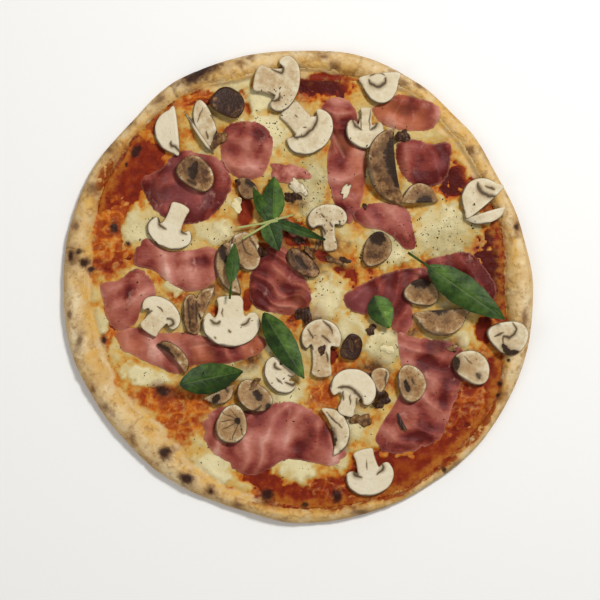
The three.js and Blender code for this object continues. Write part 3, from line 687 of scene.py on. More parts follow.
def build_crust():
    """The dough in one piece: its floor, its rim and its flat underside."""
    corners = range(len(RIM_ACROSS))
    stations = np.linspace(0, corners[-1], RIM_ROWS)
    across = evened(np.interp(stations, corners, RIM_ACROSS))
    up = evened(np.interp(stations, corners, RIM_UP))
    up[-1] = 0
    rows = len(FLOOR_ROWS) + RIM_ROWS + 2
    bm = bmesh.new()
    bmesh.ops.create_grid(bm, x_segments=RIM_POINTS, y_segments=rows - 1, size=1)
    piece = Piece("crust", bm)
    angle = (piece.x + 1) / 2 * TAU
    row = np.rint((piece.y + 1) / 2 * (rows - 1)).astype(int)
    foot = around(RIM_FOOT, angle) * SQUARE
    edge = around(OUTER_EDGE, angle) * SQUARE + 0.7 * MM * ripple(angle, 3) - 0.5 * MM
    plump = np.minimum(1, (edge - foot) / RIM_WIDTH)
    swell = sizes().rim_height * (0.4 + 0.6 * plump) + 1.1 * MM * ripple(angle, 7)
    station = np.clip(row - len(FLOOR_ROWS), 0, RIM_ROWS - 1)
    part, high = across[station], up[station]
    outer = station > RIM_ROWS // 2
    on_floor, under = row < len(FLOOR_ROWS), row - len(FLOOR_ROWS) - RIM_ROWS
    r = foot + (edge - foot) * part
    z = np.where(outer, swell * high, BASE + (swell * high - BASE) * step(0, 0.25, part))
    r = np.where(on_floor, foot * np.take(FLOOR_ROWS, np.minimum(row, len(FLOOR_ROWS) - 1)), r)
    z = np.where(on_floor, BASE, z)
    r = np.where(under >= 0, edge * np.where(under == 0, 0.45, 0), r)
    z = np.where(under >= 0, 0, z)
    x, y = r * np.cos(angle), r * np.sin(angle)
    cut = cracked(x, y, angle)
    rim = np.where(on_floor | (under >= 0), 0, step(0.02, 0.2, high) * step(0, 0.12, part))
    z = z + rim * rim_relief(x, y) - cut * rim * 1.2 * MM
    piece.x, piece.y = x, y
    piece.z = np.maximum(z, 0)
    piece.ring = np.where(on_floor | (part > 0.97) & outer | (under >= 0), 1, 0)
    inner = part * (edge - foot) / RIM_WIDTH
    reach = 0.28 * rough(x, y, 0.011, 51, 3) + 0.12 * ripple(angle, 4)
    piece.value("char", reach_of(x, y, CHARRED, 0.2) + 3 * (under >= 0))
    piece.value("brown", reach_of(x, y, BROWNED, 0.35))
    piece.value("golden", 0.3 + 0.3 * step(0.5, 1, part) * outer + 0.4 * rough(x, y, 0.018, 41, 4))
    piece.value("oily", np.maximum(patches(x, y, OILY, 0.6), 1 - step(0.1, 0.75, inner + reach)))
    stain = sauce_shows(x, y) * (1 - step(0.0, 0.4, inner + reach + 0.05))
    spilt = patches(x, y, STAINED, 0.5) * (1 - step(0.42, 0.82, part + 0.8 * reach))
    piece.value("stain", np.maximum(stain, spilt))
    piece.value("cut", cut * rim)
    piece.value("blister", rough(x, y, 0.0065, 21, 2))
    piece.value("below", 1 - step(0.1, 0.5, high) * (under < 0))
    return piece.done(crust_finish(), "crust", ["dough"], weld=True)


def crust_finish():
    c = colours()
    f = Finish("baked dough")
    char, brown, golden, oily = f.marks("char", "brown", "golden", "oily")
    stain, cut, below, blister = f.marks("stain", "cut", "below", "blister")
    coarse, mid, fine = f.grain(0.011, 4, 0.6), f.grain(0.0045, 4, 0.6), f.grain(0.0016, 4, 0.65)
    tone = golden * 0.8 + coarse * 0.7 + mid * 0.5 - 0.55
    base = f.shades(tone, (0, c.crust_pale), (0.4, c.crust), (0.85, c.crust_golden), (1, "8a6234"))
    flour = f.grain(0.016, 3, shift=0.3).over(0.46, 0.62)
    base = f.blend(base, "e6d5ae", flour * 0.6 * mid.over(0.3, 0.6))
    base = f.blend(base, c.crust_oil, oily * 0.8 * coarse.over(0.25, 0.6))
    base = f.blend(base, "cf9438", oily.over(0.6, 1.0) * 0.32 * mid.over(0.35, 0.6))
    # Painted highlight: the tops of the blisters made paler, as if they caught the light.
    base = f.blend(base, "e6cf98", blister.over(0.5, 0.9) * 0.5)
    base = f.blend(base, "b0641c", stain * 0.9 * mid.over(0.3, 0.5))
    base = f.blend(base, "88350c", stain.over(0.5, 0.9) * 0.9 * mid.over(0.36, 0.54))
    jitter = (mid - 0.5) * 1.3 + (fine - 0.5) * 0.6 + (coarse - 0.5) * 0.9
    halo = (brown + jitter).within(1.35, 0.35)
    base = f.blend(base, f.blend(tint("9a6d3a"), "75492a", fine), halo * 0.6)
    base = f.blend(base, "5a3a22", (brown + jitter).within(0.7, 0.1) * 0.6)
    speckle = (mid * 0.6 + fine * 0.4).over(0.54, 0.66)
    base = f.blend(base, "93662f", speckle * 0.5)
    spots = (f.grain(0.0062, 3, 0.55, shift=1.3) * 0.8 + coarse * 0.3).over(0.6, 0.74)
    base = f.blend(base, "84593a", spots * 0.55)
    ring = (blister - 0.42) + (fine - 0.5) * 0.5 + (mid - 0.5) * 0.4
    base = f.blend(base, "8f6030", (ring * ring).within(0.02, 0.0) * oily * 0.3)
    scorch = (char + jitter * 0.7).within(1.5, 0.5)
    base = f.blend(base, "4a2d1c", scorch * 0.75)
    burnt = (char + jitter * 0.6).within(0.95, 0.35)
    base = f.blend(base, f.blend(tuple(c.char), "41281f", fine), burnt * 0.93)
    # Painted shade: the cracks up the rim darker, as the shade in their grooves.
    base = f.blend(base, "6d4a24", cut * 0.6)
    base = f.blend(base, "a87c46", below * 0.5)
    bump = f.relief(fine, 0.0006, 0.6)
    bump = f.relief(f.pores(0.0026), 0.0005, 0.3, bump)
    bump = f.relief(mid, 0.0014, 0.55, bump)
    return f.done(base, 0.7 - oily * 0.2, bump, shine=0.12)


# ---------------------------------------------------------------- sauce and cheese

SAUCE_PLACES = [
    (133, 160, 21, 24, 20), (118, 192, 13, 20, 10), (325, 84, 29, 13, 8), (454, 181, 14, 19, 20),
    (488, 250, 16, 38, -12), (497, 300, 8, 20, 0), (507, 200, 4, 14, 0), (302, 494, 46, 15, 6),
    (484, 330, 8, 14, 0), (470, 415, 26, 34, 38), (425, 474, 28, 20, -25), (206, 84, 15, 8, -20),
    (246, 215, 8, 12, 0), (350, 275, 8, 6, 0), (262, 478, 26, 10, 14), (212, 97, 22, 7, -14),
    (380, 492, 26, 10, -8), (296, 236, 12, 12, 0), (300, 262, 12, 10, 0), (330, 355, 8, 10, 0),
    (322, 256, 10, 5, 30), (341, 271, 9, 4, 20), (351, 285, 4, 9, 30), (246, 203, 6, 12, -20),
    (226, 262, 5, 9, 0), (262, 246, 9, 4, 10), (247, 300, 5, 9, 0),
]
ORANGE_PLACES = [
    (106, 242, 22, 34, 12), (182, 412, 24, 28, 30), (158, 393, 12, 9, 0), (459, 402, 30, 38, 36),
    (307, 97, 14, 5, 0), (387, 342, 8, 6, 0), (322, 394, 12, 16, 20), (166, 396, 14, 11, 0),
    (106, 336, 6, 12, 0), (112, 306, 4, 8, 0), (330, 490, 28, 10, 0), (500, 350, 14, 12, 0),
    (240, 60, 20, 6, 0), (440, 228, 4, 8, 0), (460, 213, 6, 5, 0), (120, 210, 10, 14, 0),
    (176, 296, 8, 8, 0), (240, 245, 9, 7, 0), (150, 398, 20, 10, 20), (225, 494, 16, 6, 10),
    (245, 102, 4, 16, -20), (204, 96, 20, 6, -14), (340, 372, 10, 12, 0), (270, 232, 12, 10, 0),
]
CHEESE_PLACES = [
    (266, 132, 30, 22, 20), (262, 98, 20, 16, 0), (230, 80, 26, 12, -10), (312, 186, 17, 30, 5),
    (442, 230, 40, 30, 0), (385, 244, 30, 24, 0), (325, 300, 20, 24, 30), (350, 330, 20, 18, 40),
    (384, 346, 22, 20, 30), (140, 226, 22, 20, -20), (214, 232, 22, 15, 0), (174, 285, 10, 12, 0),
    (148, 376, 32, 11, 12), (214, 468, 22, 24, 0), (298, 470, 22, 15, 0), (288, 396, 24, 10, -20),
    (463, 339, 9, 11, 0), (285, 365, 20, 16, 0),
    (250, 372, 14, 10, 0), (356, 424, 12, 22, 10), (340, 460, 10, 14, 0),
    (230, 445, 12, 26, 30), (140, 300, 10, 14, 0), (100, 322, 10, 14, 0),
]
PALE_PLACES = [
    (152, 379, 34, 13, 12), (322, 292, 14, 20, 20), (264, 118, 22, 30, 10), (424, 226, 16, 10, 0),
    (214, 468, 20, 20, 0), (298, 466, 20, 12, 0), (392, 354, 10, 8, 0), (384, 246, 12, 10, 0),
]
BROWN_CHEESE = [
    (296, 202, 10, 7, 0), (300, 258, 26, 14, 20), (330, 246, 16, 9, 0), (410, 330, 14, 9, 0),
    (240, 250, 14, 10, 0), (362, 395, 12, 14, 0), (286, 290, 20, 8, 30), (452, 345, 10, 8, 0),
    (236, 392, 16, 8, 0), (268, 262, 18, 10, 0), (372, 222, 14, 6, 0), (324, 340, 10, 14, 0),
    (315, 320, 8, 16, 10), (335, 262, 16, 8, 20), (244, 216, 8, 14, 0), (284, 240, 12, 12, 0),
    (372, 372, 12, 16, 20), (340, 440, 8, 12, 0), (212, 290, 12, 10, 0), (250, 360, 12, 8, -20),
]
DEEP_PLACES = [
    (468, 412, 34, 46, 38), (424, 474, 34, 18, -25), (490, 262, 14, 50, -10),
    (108, 270, 16, 14, 0), (456, 182, 14, 20, 10), (316, 490, 52, 16, 4),
]
SHADED_CHEESE = [
    (452, 242, 30, 20, 0), (313, 180, 20, 30, 5), (446, 134, 14, 16, 0), (395, 236, 18, 10, 0),
    (388, 352, 16, 10, 0),
]
THICK_SAUCE = [(488, 262, 14, 54, -8), (318, 84, 26, 10, 8), (450, 182, 12, 16, 0)]

SAUCE_CELL = 1.15 * MM
CHEESE_CELL = 0.98 * MM
SAUCE_CREEP = 3.8 * MM
LOOP_POINTS = 420


def sauce_reach(angle):
    """How far out the sauce lies level."""
    return around(RIM_FOOT, angle) * SQUARE - 1.4 * MM + 0.5 * MM * ripple(angle, 5)


def melt_reach(angle):
    """How far the cheese creeps up the inner slope of the rim."""
    return sauce_reach(angle) + (6.8 + 0.7 * ripple(angle, 6) + 0.4 * ripple(angle * 3, 4)) * MM


def sauce_shows(x, y):
    """1 where bare sauce runs up to the rim, 0 where cheese does."""
    short = around(RIM_FOOT, np.arctan2(y, x)) - around(CHEESE_EDGE, np.arctan2(y, x))
    return step(-4, 14, short + 12 * wander(x, y, 0.014, 68))


def ring_loop(reach):
    """A closed line round the middle, as far out as the reach says at each angle."""
    angle = np.linspace(0, TAU, LOOP_POINTS, endpoint=False)
    r = reach(angle)
    return np.stack([r * np.cos(angle), r * np.sin(angle)], -1)


def cheese_amount(x, y):
    """How much cheese lies at a point: under 0.2 bare sauce, about 0.5 thin, 1 a pool.

    With it, how much of it took up sauce and oil, and the threads in that.
    """
    angle, r = np.arctan2(y, x), np.hypot(x, y)
    inside = around(CHEESE_EDGE, angle) * SQUARE - r
    pools = patches(x, y, CHEESE_PLACES, 0.45)
    sauce = patches(x, y, SAUCE_PLACES, 0.35)
    orange = patches(x, y, ORANGE_PLACES, 0.5)
    melt = 0.58 + 0.45 * rough(x, y, 0.012, 61, 4) + 0.18 * rough(x, y, 0.003, 71, 2)
    fringe = 0.45 * step(-0.1, 0.5, rough(x, y, 0.012, 67, 3))
    edge = step(-0.012, 0.004, inside + 0.008 * rough(x, y, 0.012, 66, 3))
    amount = (melt * edge + fringe * (1 - edge)) * (1 - 0.92 * sauce)
    net = np.maximum(threads(x, y, 0.0085, 81), threads(x, y, 0.006, 83))
    amount = amount * (1 - 0.5 * orange)
    amount = np.maximum(amount, orange * (0.25 + 0.2 * net + 0.12 * rough(x, y, 0.004, 75, 2)))
    amount = np.maximum(amount, pools * (1 + 0.25 * rough(x, y, 0.009, 77, 3)))
    return amount, orange, net


def build_sauce():
    """The sauce: level inside the rim, then a film on the foot of its slope."""
    loop = ring_loop(lambda angle: sauce_reach(angle) + SAUCE_CREEP)
    piece = Piece("sauce", blank(loop, SAUCE_CELL, 1))
    x, y = piece.x, piece.y
    within = sauce_reach(np.arctan2(y, x)) - np.hypot(x, y)
    pulp = rough(x, y, 0.0045, 101, 3)
    level = BASE + 0.3 * MM + sizes().sauce * (0.8 + 0.35 * pulp)
    shows = sauce_shows(x, y)
    climb = laid.at(x, y) + (0.4 * shows - 0.15 + 0.3 * pulp) * MM * step(-0.0026, 0, within)
    climb = climb - 0.6 * MM * (1 - step(-0.0016, -0.0004, within + 0.0012 * pulp))
    climb = climb - 1.4 * MM * (1 - shows) * (1 - step(0, 0.002, within))
    piece.z = np.where(piece.ring > 0, BASE - 0.4 * MM, np.maximum(level, climb))
    piece.spread = 0.9
    piece.value("pulp", pulp)
    piece.value("char", reach_of(x, y, CHARRED, 0.16))
    piece.value("thick", patches(x, y, THICK_SAUCE, 0.5))
    piece.value("thin", 1 - step(-0.001, 0.005, within + 0.004 * rough(x, y, 0.006, 103)))
    return piece.done(sauce_finish(), "sauce", ["tomato_sauce"])


def sauce_finish():
    c = colours()
    f = Finish("tomato sauce")
    pulp, thin, thick, char = f.marks("pulp", "thin", "thick", "char")
    fine, mid, coarse = f.grain(0.0014, 4, 0.6), f.grain(0.004, 4, 0.6), f.grain(0.010, 4, 0.6)
    tone = pulp * 0.22 + coarse * 0.9 + mid * 0.6 + thin * 0.3 - thick * 0.56 - 0.37
    base = f.shades(tone, (0, c.sauce_dark), (0.4, c.sauce), (0.7, "96440f"), (1, "b4662a"))
    base = f.blend(base, "a8671f", thin * 0.75 * mid.over(0.35, 0.65))
    base = f.blend(base, c.char, (char + (mid - 0.5) * 0.8).within(1.3, 0.5) * 0.88)
    bump = f.relief(fine, 0.0005, 0.6)
    bump = f.relief(mid, 0.0012, 0.5, bump)
    return f.done(base, 0.3 + fine * 0.3, bump, shine=0.1)


def build_cheese():
    """The cheese: one sheet that rises in pools, and sinks where bare sauce shows."""
    piece = Piece("cheese", blank(ring_loop(melt_reach), CHEESE_CELL, 1))
    x, y = piece.x, piece.y
    amount, orange, net = cheese_amount(x, y)
    within = melt_reach(np.arctan2(y, x)) - np.hypot(x, y)
    lumps = rough(x, y, 0.0055, 111, 3)
    rise = (amount - 0.2) * sizes().cheese * 1.2 + 0.28 * MM * lumps * step(0.3, 0.6, amount)
    rise = rise + 0.25 * MM * net * orange
    slope = step(-0.004, 0.001, sauce_reach(np.arctan2(y, x)) - np.hypot(x, y))
    rise = np.where(rise < 0, rise * 2, rise * (0.25 + 0.75 * slope))
    rise = rise * step(0, 0.0075, within + 0.0025 * rough(x, y, 0.006, 113, 2))
    covers = step(0.22, 0.4, amount) * step(0, 0.002, within)
    rise = rise + (0.3 * covers - 0.15) * MM - 0.4 * MM * (1 - step(0, 0.0018, within))
    shows = sauce_shows(x, y)
    hidden = step(0.3, 0.7, shows)
    rise = rise - 0.9 * MM * hidden * (1 - step(0.0045, 0.0075, within))
    foot = step(0.0012, 0.0028, within) * (1 - step(0.0075, 0.0095, within))
    rise = np.maximum(rise, (0.45 * foot - 1.0) * MM + foot * (1 - hidden) * MM)
    ground = laid.at(x, y, laid.draped(0.7 * MM)) * slope + laid.at(x, y) * (1 - slope)
    piece.z = ground + np.clip(rise, -1.0 * MM, 3.2 * MM)
    piece.z = np.where(piece.ring > 0, BASE - 0.5 * MM, piece.z)
    piece.value("amount", amount)
    piece.value("orange", orange)
    piece.value("net", net)
    piece.value("pale", patches(x, y, PALE_PLACES, 0.6))
    piece.value("deep", patches(x, y, DEEP_PLACES, 0.5))
    piece.value("browned", patches(x, y, BROWN_CHEESE, 0.7))
    piece.value("shaded", patches(x, y, SHADED_CHEESE, 0.6))
    piece.value("char", reach_of(x, y, CHARRED, 0.2))
    uneven = 0.005 * rough(x, y, 0.009, 105, 3)
    piece.value("creep", (1 - step(0.0005, 0.009, within + uneven)) * (1 - 0.6 * shows))
    return piece.done(cheese_finish(), "cheese", ["melted_cheese"])


def cheese_finish():
    c = colours()
    f = Finish("melted cheese")
    amount, orange, net, deep, shaded = f.marks("amount", "orange", "net", "deep", "shaded")
    browned, pale, char, creep = f.marks("browned", "pale", "char", "creep")
    fine, mid, coarse = f.grain(0.0015, 4, 0.6), f.grain(0.0042, 4, 0.6), f.grain(0.011, 4, 0.55)
    jitter = (fine - 0.5) * 0.2 + (mid - 0.5) * 0.45 + (coarse - 0.5) * 0.4
    much = (amount + jitter) * 0.8
    base = f.shades(much, (0.14, c.sauce), (0.24, c.orange), (0.35, "be7c29"),
                    (0.46, c.cheese_yellow), (0.6, "cbae6c"), (0.76, c.cheese),
                    (0.98, c.cheese_pale))
    melted = f.shades(mid * 1.1 + fine * 0.4 + net * 0.4 - deep * 0.3 - 0.4, (0, "7c2204"),
                      (0.35, "9c400a"), (0.6, c.orange), (0.8, "c87a24"), (1, "d9a04c"))
    base = f.blend(base, melted, orange * much.within(0.66, 0.42))
    base = f.blend(base, "ab925a", mid.over(0.5, 0.72) * 0.45)
    base = f.blend(base, "8b6f3c", coarse.over(0.56, 0.74) * 0.4 * mid.over(0.35, 0.6))
    stain = browned * (mid * 0.9 + coarse * 0.7).over(0.5, 0.8)
    crisp = f.blend(tint("8a5524"), "4e2a14", (mid * 0.9 + fine * 0.5).over(0.66, 0.82))
    base = f.blend(base, crisp, stain * 0.95)
    base = f.blend(base, c.cheese_pale, pale * much.over(0.6, 0.8) * 0.55)
    base = f.blend(base, "8d7f50", shaded * 0.45 * mid.over(0.2, 0.6))
    dough = f.shades(coarse * 0.7 + mid * 0.7 - 0.2, (0.2, c.crust_pale), (0.45, c.crust),
                     (0.6, c.crust_oil), (0.8, "b57c33"))
    base = f.blend(base, dough, (creep + (mid - 0.5) * 0.8).over(0.2, 0.8))
    scorch = char + (mid - 0.5) * 1.2 + (fine - 0.5) * 0.5
    base = f.blend(base, "74361a", scorch.within(2.1, 0.9) * 0.7)
    base = f.blend(base, c.char, scorch.within(1.2, 0.5) * 0.9)
    bump = f.relief(fine, 0.0004, 0.5)
    bump = f.relief(mid, 0.0012, 0.6, bump)
    return f.done(base, 0.36 + fine * 0.25, bump, shine=0.14)


# ---------------------------------------------------------------- ham

# For each slice: waves across it, their direction, how light it is and how orange.
HAM = [
    (2, 20, 0.27, 0.1), (2, 75, 0.60, 0.35), (3, 80, 0.42, 0.3), (2, -10, 0.57, 0.7),
    (2, 15, 0.28, 0.1), (2, 30, 0.48, 0.1), (2, 30, 0.25, 0.0), (3, -20, 0.38, 0.0),
    (5, 60, 0.42, 0.2), (2, 5, 0.62, 0.3), (2, -60, 0.58, 0.4), (3, 8, 0.58, 0.7),
    (4, 70, 0.52, 0.2), (4, -15, 0.5, 0.2),
]
HAM_SHADE = [
    (257, 146, 6, 17, 8), (415, 437, 22, 9, -20), (152, 192, 18, 14, 0), (205, 205, 5, 18, 20),
    (432, 350, 8, 20, 30), (345, 140, 6, 22, 5), (300, 300, 16, 6, 40), (236, 432, 10, 18, 20),
    (400, 110, 10, 5, 0), (196, 262, 14, 5, -10), (360, 300, 8, 16, 40), (130, 290, 6, 14, 10),
    (452, 280, 22, 9, 20), (444, 395, 5, 16, 0), (262, 300, 9, 14, 0), (428, 178, 14, 6, 0),
]
HAM_CELL = 0.85 * MM


def build_ham():
    """The slices of ham, in the order in which they overlap."""
    finish = ham_finish()
    for number, looks in enumerate(HAM, 1):
        build_ham_slice(number, looks, finish)


def build_ham_slice(number, looks, finish):
    """One slice: a thin sheet that drapes over what is laid, with folds across it."""
    waves, turn, light, warm = looks
    node = f"ham_slice_{number:02d}"
    middle, loop = ham_outline(node, number)
    piece = Piece(f"ham_{number:02d}", blank(loop, HAM_CELL))
    x, y = piece.x, piece.y
    inside, _ = edge_distance(x, y, loop)
    size = math.sqrt(len(x)) * HAM_CELL
    c, s = cos_sin(turn)
    bent = 0.2 * rough(x, y, 0.022, 200 + number, 2)
    along = ((x - middle[0]) * c + (y - middle[1]) * s) / size + bent
    bend = along * waves * np.pi + waves
    ridge = (1 - np.abs(np.sin(bend))) ** 1.4
    swing = 0.5 + 0.5 * np.cos(bend * 2)
    fold = 0.6 * ridge + 0.4 * swing
    crumple = 1 - np.clip(np.abs(rough(x, y, 0.016, 230 + number, 2)) * 3.2, 0, 1)
    ruffle = rough(x, y, 0.006, 260 + number, 3)
    full = step(-0.0004, 0.006, inside)
    ground = laid.at(x, y, laid.draped(1.5 * MM))
    soft = laid.at(x, y, laid.draped(4.5 * MM))
    height = ground * (1 - full) + np.maximum(ground, soft) * full
    lift = sizes().ham_fold * (fold * (0.08 + 0.92 * full) + 0.3 * crumple * full)
    sunk = sizes().ham * (1 - step(0, 0.0022, inside))
    piece.z = height + sizes().ham + lift + full * 0.25 * MM * ruffle - sunk
    marble = rough(x, y, 0.019, 290 + number, 2)
    # Painted light and shade: on top of the slice's own lightness and marbling, the crests of its
    # folds, crumples and ruffles are painted lighter, and its hollows and the patches in HAM_SHADE
    # darker.
    shade = patches(x, y, HAM_SHADE, 0.8)
    light = light - 0.08 + 0.5 * marble + 0.14 * np.cos(bend * 2) + 0.07 * (crumple - 0.3)
    piece.value("light", light - 0.4 * shade + 0.08 * ruffle)
    # Painted highlight along the crests of the folds.
    piece.value("fold_highlight", step(0.5, 1.05, swing) * (0.4 + 0.7 * marble))
    piece.value("edge", inside / MM)
    piece.value("warm", warm + 0.7 * rough(x, y, 0.018, 310 + number, 2))
    thicken(piece.done(finish, "ham", [node]), sizes().ham)


def ham_outline(node, number):
    """The middle and the outline of a slice's solid, the outline made a little ragged."""
    loop = smooth_loop(cad_top(node)[0], 150)
    middle = loop.mean(0)
    out = loop - middle
    way = np.arctan2(out[:, 1], out[:, 0])
    ragged = 1 + 0.03 * ripple(way * 2, number) + 0.02 * ripple(way * 5, number + 5)
    return middle, middle + out * (ragged * 0.985)[:, None]


def ham_finish():
    c = colours()
    f = Finish("cooked ham")
    light, edge, warm, fold_highlight = f.marks("light", "edge", "warm", "fold_highlight")
    fibre = f.grain(0.0042, 5, 0.65, stretch=(1, 2.2, 1))
    fine, mid, coarse = f.grain(0.0011, 3, 0.6), f.grain(0.0055, 3, 0.6), f.grain(0.012, 3, 0.5)
    # The layer "light" brings the painted light and shade of the folds into the tone.
    tone = light + (fibre - 0.5) * 0.32 + (coarse - 0.5) * 0.7 + (fine - 0.5) * 0.1
    base = f.shades(tone, (0.02, c.ham_dark), (0.28, "84362c"), (0.52, c.ham), (0.78, "bd7868"),
                    (1, c.ham_light))
    base = f.blend(base, "bb6a3f", warm.over(0.4, 1.1) * 0.55)
    base = f.blend(base, "b0625f", warm.within(0.1, -0.5) * 0.35)
    # Painted sheen: pale patches, and the painted highlight along the crests of the folds.
    film = f.grain(0.013, 5, 0.6, stretch=(1.5, 1, 1), shift=0.7).over(0.6, 0.72)
    sheen = film * 0.4 + fold_highlight.over(0.2, 1.2) * 0.25
    base = f.blend(base, "d3a491", sheen * mid.over(0.25, 0.6))
    rim = (edge + (fine - 0.5) * 1.5 + (coarse - 0.5) * 3.0).within(1.4, 0.2)
    base = f.blend(base, "c8937c", rim * 0.18)
    bump = f.relief(fine, 0.0003, 0.4)
    bump = f.relief(fibre, 0.0010, 0.4, bump)
    return f.done(base, 0.32 + fine * 0.25, bump, shine=0.16)


# ---------------------------------------------------------------- mushrooms

